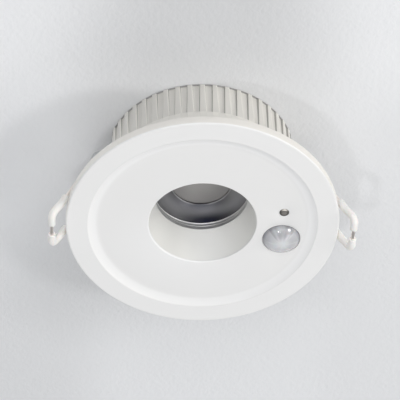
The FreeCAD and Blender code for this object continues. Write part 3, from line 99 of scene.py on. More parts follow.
# Node building
class Graph:
    """Nodes under construction; an input takes a plain value or another node's output."""

    def __init__(self, tree):
        self.nodes, self.links = tree.nodes, tree.links

    def feed(self, socket, value):
        """Link an output to an input, or write a plain value into it."""
        if isinstance(value, bpy.types.NodeSocket):
            self.links.new(value, socket)
        else:
            socket.default_value = value

    def add(self, kind, *inputs, **named):
        """A node; names in lower case are its settings, the others its inputs."""
        node = self.nodes.new(kind)
        for name, value in named.items():
            if name.islower():
                setattr(node, name, value)
            else:
                self.feed(node.inputs[name.replace("_", " ")], value)
        for socket, value in zip(node.inputs, inputs):
            self.feed(socket, value)
        return node

    def math(self, operation, *inputs):
        return self.add("ShaderNodeMath", *inputs, operation=operation).outputs[0]

    def vector(self, operation, *inputs):
        return self.add("ShaderNodeVectorMath", *inputs, operation=operation).outputs

    def ranged(self, value, low, high, least=0.0, most=1.0, **settings):
        """The value's run between low and high, as a run between least and most."""
        return self.add("ShaderNodeMapRange", Value=value, From_Min=low, From_Max=high,
                        To_Min=least, To_Max=most, **settings).outputs["Result"]

    def eased(self, value, low, high):
        """The value's smooth run between low and high, from nought to one."""
        return self.ranged(value, low, high, interpolation_type="SMOOTHSTEP")


def placed(name, data):
    """A new object in the scene."""
    item = bpy.data.objects.new(name, data)
    bpy.context.scene.collection.objects.link(item)
    return item


# Camera and light
def photo_axes():
    """Right, up and ahead of the photograph's view."""
    around, climb, tilt = (math.radians(angle) for angle in VIEW_ANGLES)
    right = Vector((math.cos(around), math.sin(around), 0))
    level = Vector((-math.sin(around), math.cos(around), 0))
    ahead = level * math.cos(climb) + Vector((0, 0, math.sin(climb)))
    up = -level * math.sin(climb) + Vector((0, 0, math.cos(climb)))
    return (right * math.cos(tilt) - up * math.sin(tilt),
            up * math.cos(tilt) + right * math.sin(tilt), ahead)


def facing(item, place, right, up, ahead):
    """Stand a camera or lamp at its place, looking ahead."""
    item.matrix_world = Matrix((*zip(right, up, -ahead, place), (0, 0, 0, 1)))
    return item


def make_camera():
    """The photograph's view: the flange has the same size and place in the picture."""
    right, up, ahead = photo_axes()
    pixel = FLANGE_RADIUS * MM / FLANGE_PX
    place = Vector((0, 0, FRONT_Z * MM)) - ahead * (VIEW_REACH * MM)
    place += right * (OFFSET_PX[0] * pixel) + up * (OFFSET_PX[1] * pixel)
    data = bpy.data.cameras.new("camera")
    data.sensor_width = SENSOR_WIDTH
    data.lens = SENSOR_WIDTH * VIEW_REACH / FLANGE_RADIUS * FLANGE_PX / PHOTO_SIDE
    data.clip_start = 0.01
    bpy.context.scene.camera = facing(placed("camera", data), place, right, up, ahead)


def make_lamps():
    """Round soft lamps, each with its heading from the light, its size, power and colour."""
    right, up, ahead = photo_axes()
    centre = Vector((0, 0, 0.01))
    white = (1, 1, 1)

    def from_view(sideways, upwards, back):
        return right * sideways + up * upwards - ahead * back

    for name, heading, size, power, colour in (
            ("key lamp", from_view(0.62, -0.2, 0.75), 0.17, 2.4, white),
            ("low right lamp", from_view(0.7, -0.6, 0.4), 0.5, 0.8, white),
            ("left front lamp", from_view(-0.19, -0.33, 0.93), 0.1, 1.5, white),
            ("wide front lamp", from_view(0, 0.1, 1), 0.9, 4.9, white),
            ("side lamp", Vector((1, -0.3, -0.3)), 0.6, 3.4, (1.0, 0.965, 0.9)),
            ("low lamp", Vector((0, 1, -0.6)), 0.8, 3.7, (0.98, 0.99, 1.0)),
            ("top lamp", Vector((0.3, 0.5, 1)), 0.7, 5.0, white),
            ("top fill lamp", Vector((-0.7, 0.5, 0.8)), 0.9, 3.0, white)):
        data = bpy.data.lights.new(name, "AREA")
        data.shape, data.size, data.energy, data.color = "DISK", size, power, colour
        lamp = placed(name, data)
        lamp.visible_glossy = name != "low lamp"
        lamp_ahead = -heading.normalized()
        lamp_right = lamp_ahead.cross(Vector((0, 0, 1))).normalized()
        facing(lamp, centre - lamp_ahead * LAMP_REACH, lamp_right, lamp_right.cross(lamp_ahead), lamp_ahead)


def blank_nodes(owner):
    """The empty node tree of a world or a material."""
    owner.use_nodes = True
    owner.node_tree.nodes.clear()
    return Graph(owner.node_tree)


def make_world():
    """A pale background for the camera and a weak even light for the rest."""
    world = bpy.data.worlds.new("studio")
    graph = blank_nodes(world)
    shown = graph.add("ShaderNodeBackground", (*FLOOR_COLOUR, 1)).outputs[0]
    light = graph.add("ShaderNodeBackground", (0.95, 0.97, 1.0, 1), 0.35).outputs[0]
    seen = graph.add("ShaderNodeLightPath").outputs["Is Camera Ray"]
    graph.add("ShaderNodeOutputWorld", graph.add("ShaderNodeMixShader", seen, light, shown).outputs[0])
    bpy.context.scene.world = world


def room_shade(graph, place, colour):
    """The board's colour, with painted light in its top corners and painted shade above the drum and at the
    lower left.
    """
    sums, eased = graph.math, graph.eased
    split = graph.add("ShaderNodeSeparateXYZ", place).outputs
    across, along = split["X"], split["Y"]
    # Painted light in the top corners and painted shade above the drum.
    away = eased(sums("MULTIPLY", along, -1.0), 0.01, 0.06)
    corner = sums("MULTIPLY_ADD", eased(sums("ABSOLUTE", across), 0.012, 0.07), 0.18, -0.085)
    # Painted light on the left beside the drum, turning to painted shade further down.
    left = sums("MULTIPLY", eased(sums("MULTIPLY", across, -1.0), 0.03, 0.06), 0.06)
    near_side = sums("MULTIPLY", eased(along, 0.03, 0.1), -2.0)
    beside = sums("MULTIPLY", left, sums("ADD", sums("SUBTRACT", 1.0, away), near_side))
    below = sums("MULTIPLY", eased(across, -0.08, -0.02), eased(along, 0.07, 0.1))
    below = sums("MULTIPLY", below, eased(across, 0.075, 0.045))
    # Painted shadow at the lower left.
    gap = graph.vector("DISTANCE", place, (-0.047, 0.072, REAR_Z * MM))["Value"]
    low_left_shadow = sums("MULTIPLY_ADD", eased(gap, 0.055, 0.012), -0.085, 1.0)
    shade = sums("ADD", sums("ADD", sums("MULTIPLY", away, corner), beside),
                 sums("MULTIPLY_ADD", below, 0.04, low_left_shadow))
    return graph.add("ShaderNodeVectorMath", colour, operation="SCALE", Scale=shade).outputs[0]


def one_sided(name, colour, hidden_rays, grain=0.0, far_glow=0.0):
    """A stage surface that is seen from its front only and that the named rays pass through."""
    material = bpy.data.materials.new(name)
    graph = blank_nodes(material)
    where = graph.add("ShaderNodeTexCoord").outputs["Object"]
    paint = graph.add("ShaderNodeBsdfDiffuse", (*colour, 1))
    shown = paint.outputs[0]
    if grain:
        peel = graph.add("ShaderNodeTexNoise", Vector=where, Scale=540.0, Detail=3.0).outputs["Fac"]
        bump = graph.add("ShaderNodeBump", Strength=0.45, Distance=grain, Height=peel)
        graph.feed(paint.inputs["Normal"], bump.outputs["Normal"])
        # With grain the board takes room_shade's painted light and shade.
        graph.feed(paint.inputs["Color"], room_shade(graph, where, colour))
    if far_glow:
        fade = graph.eased(graph.vector("LENGTH", where)["Value"], 0.12, 0.5)
        glow = graph.add("ShaderNodeEmission", (far_glow, far_glow, far_glow, 1)).outputs[0]
        shown = graph.add("ShaderNodeMixShader", fade, shown, glow).outputs[0]
    rays = graph.add("ShaderNodeLightPath").outputs
    passes = graph.add("ShaderNodeNewGeometry").outputs["Backfacing"]
    for ray in hidden_rays:
        passes = graph.math("MAXIMUM", passes, rays[ray])
    clear = graph.add("ShaderNodeBsdfTransparent").outputs[0]
    graph.add("ShaderNodeOutputMaterial", graph.add("ShaderNodeMixShader", passes, shown, clear).outputs[0])
    return material


def stage_sheet(name, height, facing_up, material):
    """A large level sheet that is seen from above or from below."""
    half, height = 3.0, height * MM
    corners = [(-half, -half, height), (half, -half, height), (half, half, height), (-half, half, height)]
    mesh = bpy.data.meshes.new(name)
    mesh.from_pydata(corners, [], [(0, 1, 2, 3) if facing_up else (3, 2, 1, 0)])
    mesh.materials.append(material)
    sheet = placed(name, mesh)


def make_stage():
    """The board that the light stands on, the floor below it, the camera and the lamps."""
    bpy.context.scene.view_settings.view_transform = "Standard"
    stage_sheet("resting board", REAR_Z + 0.05, False,
                one_sided("textured board", BOARD_COLOUR, ["Is Shadow Ray"], grain=0.0006))
    stage_sheet("floor", BAR_Z - SLEEVE_RADIUS - 0.1, True,
                one_sided("pale floor", FLOOR_COLOUR, ["Is Shadow Ray", "Is Diffuse Ray", "Is Glossy Ray"],
                          far_glow=0.72))
    make_camera()
    make_lamps()
    make_world()


# Finishes
class Finish(Graph):
    """A material under construction: its nodes, links and main shader."""

    def __init__(self, name, colour, roughness, **values):
        self.material = bpy.data.materials.new(name)
        self.material.use_nodes = True
        super().__init__(self.material.node_tree)
        self.shader = next(node for node in self.nodes if node.type == "BSDF_PRINCIPLED")
        self.colour = colour
        self.feed(self.shader.inputs["Base Color"], (*colour, 1))
        self.feed(self.shader.inputs["Roughness"], roughness)
        for socket, value in values.items():
            self.feed(self.shader.inputs[socket.replace("_", " ").title().replace("Ior", "IOR")], value)
        self.place = self.add("ShaderNodeTexCoord").outputs["Object"]

    def noise(self, scale, detail=2.0, stretch=None):
        """Noise over the object, with a scale of its own along each axis where stretch gives one."""
        place = self.place
        if stretch:
            place = self.add("ShaderNodeMapping", Vector=place, Scale=stretch).outputs["Vector"]
        return self.add("ShaderNodeTexNoise", Vector=place, Scale=scale, Detail=detail).outputs["Fac"]

    def tone(self):
        """The piece's tone attribute, from nought to one, which carries its painted light and shade."""
        return self.add("ShaderNodeAttribute", attribute_name="tone").outputs["Fac"]

    def mottled_tone(self, scale, detail, spread):
        """The piece's tone attribute, with its painted light and shade, and a little noise."""
        return self.math("ADD", self.math("MULTIPLY_ADD", self.noise(scale, detail), spread, -spread / 2),
                         self.tone())

    def shares(self, height, *steps):
        """Base colour along steps, each a position and a colour or a share of the finish's colour."""
        ramp = self.add("ShaderNodeValToRGB", height)
        while len(ramp.color_ramp.elements) < len(steps):
            ramp.color_ramp.elements.new(0.5)
        for element, (place, share) in zip(ramp.color_ramp.elements, steps):
            element.position = place
            colour = share if isinstance(share, tuple) else [min(1.0, part * share) for part in self.colour]
            element.color = (*colour, 1)
        self.feed(self.shader.inputs["Base Color"], ramp.outputs["Color"])

    def tint(self, height, dark, light, low=0.35, high=0.65):
        """Base colour that runs between two shares of the finish's colour."""
        self.shares(height, (low, dark), (high, light))

    def sheen_spread(self, height, least, most):
        """Roughness that wanders between two values."""
        self.feed(self.shader.inputs["Roughness"], self.ranged(height, 0.0, 1.0, least, most))

    def relief(self, height, depth, strength):
        """Fine bumps, with their depth in millimetres."""
        bump = self.add("ShaderNodeBump", Strength=strength, Distance=depth * MM, Height=height)
        self.feed(self.shader.inputs["Normal"], bump.outputs["Normal"])

    def skin(self, patches, least, most, grain, depth, strength=0.5, detail=2.0):
        """Roughness that wanders in patches, over a fine grain; gives back the finished material."""
        self.sheen_spread(self.noise(patches), least, most)
        self.relief(self.noise(grain, detail), depth, strength)
        return self.material


def drum_paint():
    """Cream paint with painted shade on the grooves' walls, a painted highlight near the outer edge of the
    walls that face one way round, and a little lighter below the grooves' foot.
    """
    finish = Finish("drum paint", (0.74, 0.722, 0.678), 0.5, specular_ior_level=0.45)
    flat = finish.vector("MULTIPLY", finish.place, (1.0, 1.0, 0.0))["Vector"]
    reach = finish.vector("LENGTH", flat)["Value"]
    square_on = finish.vector("CROSS_PRODUCT", (0.0, 0.0, 1.0), flat)["Vector"]
    sideways = finish.vector("NORMALIZE", square_on)["Vector"]
    surface = finish.add("ShaderNodeNewGeometry").outputs["Normal"]
    turned = finish.vector("DOT_PRODUCT", surface, sideways)["Value"]
    # Painted shade on the grooves' walls; towards the outer edge the walls that face one way round turn to a
    # painted highlight.
    outside = finish.ranged(reach, (DRUM_RADIUS - 1.8) * MM, (DRUM_RADIUS - 1.4) * MM)
    wall = finish.math("MULTIPLY", turned, outside)
    crest = finish.ranged(reach, (DRUM_RADIUS - 0.8) * MM, (DRUM_RADIUS - 0.1) * MM, 0.2, 0.44)
    height = finish.add("ShaderNodeSeparateXYZ", finish.place).outputs["Z"]
    band = finish.ranged(height, (GROOVE_FOOT + 0.2) * MM, (GROOVE_FOOT - 0.2) * MM, 0.0, 0.055)
    speck = finish.math("ADD", finish.math("MULTIPLY_ADD", finish.noise(45.0, 3.0), 0.02, 0.48), band)
    finish.shares(finish.math("MULTIPLY_ADD", wall, crest, speck),
                  (0.2, 0.52), (0.33, 0.56), (0.45, 0.95), (0.5, 0.955), (0.54, 1.09), (0.6, 0.95),
                  (0.66, 0.46), (0.72, 0.5), (0.8, 1.18), (1.0, 1.24))
    return finish.skin(260.0, 0.45, 0.55, 1500.0, 0.02, 0.6)


def face_paint():
    """Smooth white paint, with painted light on the sweep and the outer flat ring, a painted highlight on
    the opening's edge and a cream tint for warm light on the flange's side.
    """
    finish = Finish("face paint", (0.823, 0.817, 0.808), 0.34, specular_ior_level=0.5)
    # The cream stands in for warm light falling on the flange's side.
    cream = (0.8, 0.775, 0.73)
    finish.shares(finish.mottled_tone(45.0, 3.0, 0.05), (0.0, cream), (0.25, cream), (0.46, 1.0), (0.5, 1.0),
                  (1.0, 1.3))
    return finish.skin(260.0, 0.29, 0.39, 1500.0, 0.012, 0.6)


def cone_paint():
    """Matt off-white paint inside the opening, with painted light and shade from the piece's tone."""
    finish = Finish("cone paint", (0.885, 0.88, 0.853), 0.55, specular_ior_level=0.4)
    finish.shares(finish.mottled_tone(45.0, 3.0, 0.05), (0.0, 0.7), (0.5, 1.0), (1.0, 1.3))
    return finish.skin(260.0, 0.5, 0.6, 1500.0, 0.015, 0.6)


def moulded(name, colour, roughness, grain=0.01, **values):
    """Moulded plastic with a fine spark-eroded skin."""
    finish = Finish(name, colour, roughness, **values)
    finish.tint(finish.noise(90.0), 0.97, 1.02)
    return finish.skin(400.0, roughness - 0.06, roughness + 0.06, 2600.0, grain, detail=3.0)


def drawn_metal(name, colour, roughness, along, depth=0.006, stain=0.9, spread=0.09):
    """Metal with fine draw lines; along sets their direction."""
    finish = Finish(name, colour, roughness, metallic=1.0)
    lines = finish.noise(60.0, 4.0, along)
    finish.tint(finish.noise(170.0, 3.0), stain, 1.03)
    finish.sheen_spread(lines, roughness - spread, roughness + spread)
    finish.relief(lines, depth, 0.5)
    return finish.material


def turned_ring_metal():
    """Lathe-turned aluminium: fine rings round the light's axis, with painted highlights, shade and
    reflections from the piece's tone.
    """
    finish = Finish("turned aluminium", (0.62, 0.62, 0.615), 0.38, metallic=0.75)
    finish.tint(finish.tone(), 0.3, 1.5, 0.0, 1.0)
    finish.sheen_spread(finish.noise(300.0), 0.34, 0.48)
    finish.relief(finish.noise(1.0, 3.0, (90, 90, 5200)), 0.012, 0.6)
    return finish.material


def metallised_bowl():
    """Vacuum-metallised plastic, a dark mirror with faint rings; the piece's tone gives painted reflections
    and shade, and a painted highlight on the rolled lip.
    """
    finish = Finish("metallised bowl", (0.5, 0.497, 0.512), 0.46, metallic=1.0)
    finish.shares(finish.tone(), (0.0, (0.0, 0.002, 0.03)), (0.1, (0.05, 0.051, 0.064)), (0.3, 0.45),
                  (1.0, 1.6))
    finish.sheen_spread(finish.noise(220.0), 0.4, 0.52)
    finish.relief(finish.noise(1.0, 2.0, (60, 60, 3600)), 0.004, 0.4)
    return finish.material


def milky_lens():
    """Thin translucent polythene with a smooth outside; the facets inside show only as painted shade from
    the piece's tone.
    """
    finish = Finish("milky lens", (0.73, 0.732, 0.75), 0.24, specular_ior_level=0.5, coat_weight=0.45,
                    coat_roughness=0.05, coat_ior=1.5, subsurface_weight=0.1, subsurface_scale=0.001)
    finish.shares(finish.tone(), (0.0, (0.0, 0.004, 0.02)), (1.0, 1.0))
    return finish.skin(500.0, 0.2, 0.3, 1800.0, 0.002, 0.4)


def smoked_window():
    """Dark glossy polycarbonate with a painted highlight from the piece's tone."""
    finish = Finish("dark window", (0.08, 0.075, 0.068), 0.12, coat_weight=0.8, coat_roughness=0.05)
    finish.tint(finish.tone(), 0.5, 11.8, 0.0, 1.0)
    return finish.skin(500.0, 0.08, 0.16, 1600.0, 0.002, 0.3)


def opal_disc():
    """Grey-looking unlit diffuser, with painted shade towards its rim and on its left."""
    finish = Finish("opal disc", (0.31, 0.3, 0.295), 0.5)
    finish.shares(finish.mottled_tone(90.0, 2.0, 0.06), (0.0, 0.0), (1.0, 1.75))
    return finish.skin(400.0, 0.44, 0.56, 2600.0, 0.006, detail=3.0)


def circuit_board(name, colour):
    """Solder mask with raised tracks and pale pads."""
    finish = Finish(name, colour, 0.38, specular_ior_level=0.5)
    finish.tint(finish.noise(240.0, 3.0), 0.82, 1.2)
    tracks = finish.add("ShaderNodeTexBrick", Vector=finish.place, Scale=260.0, Mortar_Size=0.04)
    finish.relief(tracks.outputs["Fac"], 0.03, 0.6)
    return finish.material


def zinc_plate():
    """Bright zinc plating with a faint spangle."""
    finish = Finish("zinc plate", (0.6, 0.61, 0.62), 0.32, metallic=1.0)
    spangle = finish.add("ShaderNodeTexVoronoi", Vector=finish.place, Scale=420.0).outputs["Distance"]
    finish.tint(spangle, 0.9, 1.06, 0.2, 0.8)
    return finish.skin(350.0, 0.26, 0.4, 900.0, 0.005)


def make_finishes():
    """One finish for every material slot."""
    silicone = moulded("sleeve silicone", (0.86, 0.845, 0.815), 0.36, 0.008, subsurface_weight=0.1,
                       subsurface_scale=0.0008)
    return {
        "bezel_white": face_paint(),
        "body_white": drum_paint(),
        "cone_white": cone_paint(),
        "turned_metal": turned_ring_metal(),
        "metallised": metallised_bowl(),
        "opal": opal_disc(),
        "lens_milk": milky_lens(),
        "guide_dark": smoked_window(),
        "silicone": silicone,
        "spring_steel": drawn_metal("spring wire", (0.92, 0.855, 0.8), 0.34, (6, 6, 6), 0.001, 0.96, 0.04),
        "zinc_steel": zinc_plate(),
        # This grey is also the rear ring's, set to stand for the shade at the grooves' tops.
        "gasket_grey": moulded("grey foam and shade sheet", (0.36, 0.355, 0.35), 0.8, 0.05),
        "thermal_grey": moulded("thermal pad", (0.27, 0.31, 0.33), 0.7, 0.02),
        "board_green": circuit_board("green board", (0.012, 0.09, 0.035)),
        "board_white": circuit_board("white board", (0.75, 0.75, 0.74)),
        "phosphor": moulded("phosphor", (0.82, 0.55, 0.06), 0.4, 0.01),
        "sensor_can": drawn_metal("sensor can", (0.55, 0.56, 0.58), 0.3, (40, 40, 8)),
        "black_plastic": moulded("black plastic", (0.02, 0.02, 0.02), 0.5),
        "ferrite": moulded("ferrite", (0.03, 0.028, 0.028), 0.6, 0.02),
        "grey_plastic": moulded("grey plastic", (0.33, 0.33, 0.33), 0.5),
        "lead_insulation": moulded("lead insulation", (0.45, 0.02, 0.015), 0.4),
    }


# Making tools
def smoothed(mesh, crease):
    """Smooth shading that breaks at edges sharper than the crease angle."""
    mesh.polygons.foreach_set("use_smooth", [True] * len(mesh.polygons))
    mesh.set_sharp_from_angle(angle=math.radians(crease))
    mesh.update()
    return mesh


def released(bm, name, crease):
    """Free a mesh under construction, in millimetres until now."""
    bmesh.ops.scale(bm, vec=(MM, MM, MM), verts=bm.verts)
    mesh = bpy.data.meshes.new(name)
    bm.to_mesh(mesh)
    bm.free()
    return smoothed(mesh, crease)


def mesh_of(bm, name, crease=32.0, turn_out=True):
    """Join what touches in a mesh under construction, turn its faces outwards and free it."""
    bmesh.ops.remove_doubles(bm, verts=bm.verts, dist=JOIN_GAP)
    if turn_out:
        bmesh.ops.recalc_face_normals(bm, faces=bm.faces)
    return released(bm, name, crease)


def turned_out(mesh, crease):
    """Make every face of a closed mesh point outwards."""
    bm = bmesh.new()
    bm.from_mesh(mesh)
    bmesh.ops.remove_doubles(bm, verts=bm.verts, dist=JOIN_GAP * MM)
    bmesh.ops.dissolve_degenerate(bm, dist=0.0002 * MM, edges=bm.edges)
    bmesh.ops.recalc_face_normals(bm, faces=bm.faces)
    bm.to_mesh(mesh)
    bm.free()
    return smoothed(mesh, crease)


def piece(name, mesh, slot, body="housing", nodes=()):
    """One finished piece, with its finish, body and the nodes that it stands for."""
    mesh.name = name
    mesh.materials.clear()
    mesh.materials.append(FINISHES[slot])
    item = placed(name, mesh)
    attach(item, body)
    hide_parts(*nodes)


def plain_mesh(item):
    """The evaluated shape of a scratch object, which is then removed."""
    bpy.context.view_layer.update()
    evaluated = item.evaluated_get(bpy.context.evaluated_depsgraph_get())
    mesh = bpy.data.meshes.new_from_object(evaluated)
    item.modifiers.clear()
    bpy.data.objects.remove(item)
    return mesh


def arc(centre_r, centre_z, radius, start, end, steps):
    """Points of an outline along an arc, angles in degrees from the radius direction."""
    return [(centre_r + radius * math.cos(math.radians(start + (end - start) * step / steps)),
             centre_z + radius * math.sin(math.radians(start + (end - start) * step / steps)))
            for step in range(steps + 1)]


def ring_of(bm, radius, height, steps, centre=(0, 0)):
    """Points on a level circle, or its centre alone where the radius is nought."""
    if radius < 1e-6:
        return [bm.verts.new((*centre, height))]
    return [bm.verts.new((centre[0] + radius * math.cos(math.tau * step / steps),
                          centre[1] + radius * math.sin(math.tau * step / steps), height))
            for step in range(steps)]


def bridged(bm, here, there):
    """Faces between two rings, one of which may be a single point."""
    total = max(len(here), len(there))
    for step in range(total if total > 1 else 0):
        ahead = (step + 1) % total
        corners = (here[step % len(here)], there[step % len(there)],
                   there[ahead % len(there)], here[ahead % len(here)])
        bm.faces.new(list(dict.fromkeys(corners)))


def walled(bm, columns, closed=False):
    """Faces between neighbouring columns of points."""
    for here, there in zip(columns, columns[1:]):
        for index in range(len(here) if closed else len(here) - 1):
            after = (index + 1) % len(here)
            bm.faces.new((here[index], here[after], there[after], there[index]))


def turned_point(bm, radius, angle, height):
    """A point at its angle round the axis, in radians."""
    return bm.verts.new((radius * math.cos(angle), radius * math.sin(angle), height))


def spun(bm, outline, steps, closed=True):
    """Turn an outline of radius and height round the light's axis."""
    rings = [ring_of(bm, radius, height, steps) for radius, height in outline]
    for here, there in zip(rings, rings[1:] + (rings[:1] if closed else [])):
        bridged(bm, here, there)
    return rings


def lathe(name, outline, steps, crease=32.0):
    """A closed turned shape; its outline may begin and end on the axis."""
    bm = bmesh.new()
    spun(bm, outline, steps)
    return mesh_of(bm, name, crease)


def filled_plane(bm, loops, normal):
    """Close a level face between one outer loop and the loops inside it."""
    edges = []
    for loop in loops:
        for step, vert in enumerate(loop):
            pair = (vert, loop[(step + 1) % len(loop)])
            edges.append(bm.edges.get(pair) or bm.edges.new(pair))
    bmesh.ops.triangle_fill(bm, use_beauty=True, use_dissolve=False, edges=edges, normal=normal)


def joined(bm, mesh, move=Matrix()):
    """Add another mesh, in metres, to one in millimetres."""
    copy = mesh.copy()
    copy.transform(move @ Matrix.Diagonal((1 / MM, 1 / MM, 1 / MM, 1)))
    bm.from_mesh(copy)
    bpy.data.meshes.remove(copy)


def softened(mesh, width, segments, angle):
    """Round every edge that is sharper than the angle."""
    item = placed("scratch", mesh)
    bevel = item.modifiers.new("edge round", "BEVEL")
    bevel.width = width * MM
    bevel.segments = segments
    bevel.limit_method = "ANGLE"
    bevel.angle_limit = math.radians(angle)
    bevel.use_clamp_overlap = True
    return smoothed(plain_mesh(item), 30.0)


def cut_by(mesh, cutters):
    """Take the cutters out of a closed shape."""
    item = placed("scratch", mesh)
    tools = [placed("scratch", cutter) for cutter in cutters]
    for tool in tools:
        step = item.modifiers.new("cut", "BOOLEAN")
        step.operation, step.solver, step.object = "DIFFERENCE", "EXACT", tool
    result = plain_mesh(item)
    for tool in tools:
        bpy.data.objects.remove(tool)
    return result


def block(low, high):
    """A cutting block between two corners, in millimetres."""
    bm = bmesh.new()
    bmesh.ops.create_cube(bm, size=1.0)
    for vert in bm.verts:
        vert.co = Vector([low[axis] if vert.co[axis] < 0 else high[axis] for axis in range(3)])
    return mesh_of(bm, "block")


def spot_at(reach, angle):
    """Place on the face at a distance and an angle, in degrees, from the axis."""
    return reach * math.cos(math.radians(angle)), reach * math.sin(math.radians(angle))


def moved_out(mesh, reach, angle):
    """Move a shape made on the axis to its place on the face."""
    x, y = spot_at(reach, angle)
    mesh.transform(Matrix.Translation((x * MM, y * MM, 0)))
    return mesh


# Repeating and sweeping
class Tree(Graph):
    """A geometry tree with named inputs that ends in Realize Instances and Set Material."""

    def __init__(self, name, inputs):
        self.group = bpy.data.node_groups.new(name, "GeometryNodeTree")
        super().__init__(self.group)
        face = self.group.interface
        face.new_socket("Geometry", in_out="OUTPUT", socket_type="NodeSocketGeometry")
        for label, kind in {"Geometry": "Geometry", **inputs, "Finish": "Material"}.items():
            face.new_socket(label, in_out="INPUT", socket_type="NodeSocket" + kind)
        self.given = self.add("NodeGroupInput").outputs

    def copies(self, spots, shape, angles):
        """One copy of the shape at every spot, turned by its angles."""
        turn = self.add("FunctionNodeEulerToRotation", angles).outputs[0]
        return self.add("GeometryNodeInstanceOnPoints", Points=spots, Instance=shape,
                        Rotation=turn).outputs[0]

    def finish(self, shape):
        """Make the copies real, give them the finish and close the tree."""
        real = self.add("GeometryNodeRealizeInstances", Geometry=shape).outputs["Geometry"]
        paint = self.add("GeometryNodeSetMaterial", Geometry=real, Material=self.given["Finish"])
        self.add("NodeGroupOutput", Geometry=paint.outputs["Geometry"])
        return self.group


def grown(group, mesh, **values):
    """Evaluate a geometry tree on a mesh and give back a plain mesh."""
    item = placed("scratch", mesh)
    step = item.modifiers.new(group.name, "NODES")
    step.node_group = group
    for socket in group.interface.items_tree:
        if socket.item_type == "SOCKET" and socket.in_out == "INPUT" and socket.name in values:
            step[socket.identifier] = values[socket.name]
    return plain_mesh(item)


def ring_tree():
    """Copies of one sector round the light's axis, welded where they meet."""
    tree = Tree("sectors round the axis", {"Count": "Int", "Weld": "Float"})
    spots = tree.add("GeometryNodePoints", Count=tree.given["Count"]).outputs[0]
    index = tree.add("GeometryNodeInputIndex").outputs[0]
    turn = tree.math("MULTIPLY", index, tree.math("DIVIDE", math.tau, tree.given["Count"]))
    angles = tree.add("ShaderNodeCombineXYZ", Z=turn).outputs[0]
    copies = tree.copies(spots, tree.given["Geometry"], angles)
    flat = tree.add("GeometryNodeRealizeInstances", Geometry=copies).outputs[0]
    weld = tree.add("GeometryNodeMergeByDistance", Geometry=flat, Distance=tree.given["Weld"])
    return tree.finish(weld.outputs[0])


def wire_tree():
    """A round bar along a path of edges."""
    tree = Tree("bar along a path", {"Radius": "Float", "Sides": "Int"})
    path = tree.add("GeometryNodeMeshToCurve", Mesh=tree.given["Geometry"]).outputs["Curve"]
    profile = tree.add("GeometryNodeCurvePrimitiveCircle", Radius=tree.given["Radius"],
                       Resolution=tree.given["Sides"]).outputs["Curve"]
    bar = tree.add("GeometryNodeCurveToMesh", Curve=path, Profile_Curve=profile, Fill_Caps=True)
    return tree.finish(bar.outputs["Mesh"])


def placing_tree():
    """One fastener at every point, turned by the point's own angles."""
    tree = Tree("fasteners at points", {"Fastener": "Object"})
    fastener = tree.add("GeometryNodeObjectInfo", Object=tree.given["Fastener"]).outputs["Geometry"]
    turn = tree.add("GeometryNodeInputNamedAttribute", data_type="FLOAT_VECTOR", Name="turn")
    return tree.finish(tree.copies(tree.given["Geometry"], fastener, turn.outputs["Attribute"]))


def round_the_axis(bm, name, count, slot):
    """Repeat a sector, in millimetres, as often as it takes to close the ring."""
    sector = mesh_of(bm, name, turn_out=False)
    return grown(RING_TREE, sector, Count=count, Weld=SECTOR_WELD * MM, Finish=FINISHES[slot])


def bar_along(points, radius, slot, sides=20):
    """A round bar through points in millimetres."""
    path = bpy.data.meshes.new("path")
    path.from_pydata([[value * MM for value in spot] for spot in points],
                     [(index, index + 1) for index in range(len(points) - 1)], [])
    return smoothed(grown(WIRE_TREE, path, Radius=radius * MM, Sides=sides, Finish=FINISHES[slot]), 40.0)


# Tones
def toned_mesh(mesh, rule):
    """Give each vertex its tone; the rule takes its distance from the axis, its bearing and its height."""
    layer = mesh.attributes.new("tone", "FLOAT", "POINT")
    for vert, item in zip(mesh.vertices, layer.data):
        x, y, z = vert.co / MM
        item.value = rule(math.hypot(x, y), math.degrees(math.atan2(y, x)) % 360, z)
    return mesh


def eased(value, low, high):
    """Nought below low, one above high and a smooth run between."""
    share = min(1.0, max(0.0, (value - low) / (high - low)))
    return share * share * (3 - 2 * share)


def near(bearing, middle, width):
    """One on the middle bearing, falling smoothly to nought at the width on either side."""
    apart = abs((bearing - middle + 180) % 360 - 180)
    return 1 - eased(apart, 0.0, width)


# Face, cone and optics
def add_post(bm, reach, angle, radius, high):
    """A round screw post on the back of the face."""
    outline = [(0, POST_FOOT), (radius, POST_FOOT), (radius, high - 0.2), (radius - 0.2, high), (0, high)]
    joined(bm, lathe("post", outline, 32), Matrix.Translation((*spot_at(reach, angle), 0)))


def add_round_hole(bm, radius, reach, angle, steps):
    """The wall of a hole through the face, with a soft front edge; gives back its front and back loops."""
    loops = [ring_of(bm, size, height, steps, spot_at(reach, angle)) for size, height in (
        (radius + 0.12, FACE_Z), (radius + 0.035, FACE_Z + 0.035), (radius, FACE_Z + 0.12), (radius, 0))]
    for here, there in zip(loops, loops[1:]):
        bridged(bm, here, there)
    return loops[0], loops[-1]


def bezel_tone(reach, bearing, height):
    """Painted warm light in cream on the flange's side, plain behind the face, painted light on the sweep
    and the outer flat ring and a painted highlight on the opening's lower-left edge.
    """
    if reach > FLANGE_RADIUS - 0.1 and height > FRONT_Z + 0.5:
        return 0.2
    if height > FACE_Z + 0.6:
        return 0.5
    # Painted highlight on the opening's edge, strongest at the lower left; painted light on the sweep and
    # the outer flat ring.
    edge = (1 - eased(abs(reach - OPENING_RADIUS - 0.2), 0.15, 0.5)) * near(bearing, 125, 100)
    sweep = eased(reach, 42.0, 43.5) * (1 - eased(reach, 46.0, 46.5))
    return 0.5 + 0.45 * edge + 0.17 * sweep + 0.06 * eased(reach, 46.3, 47.0)


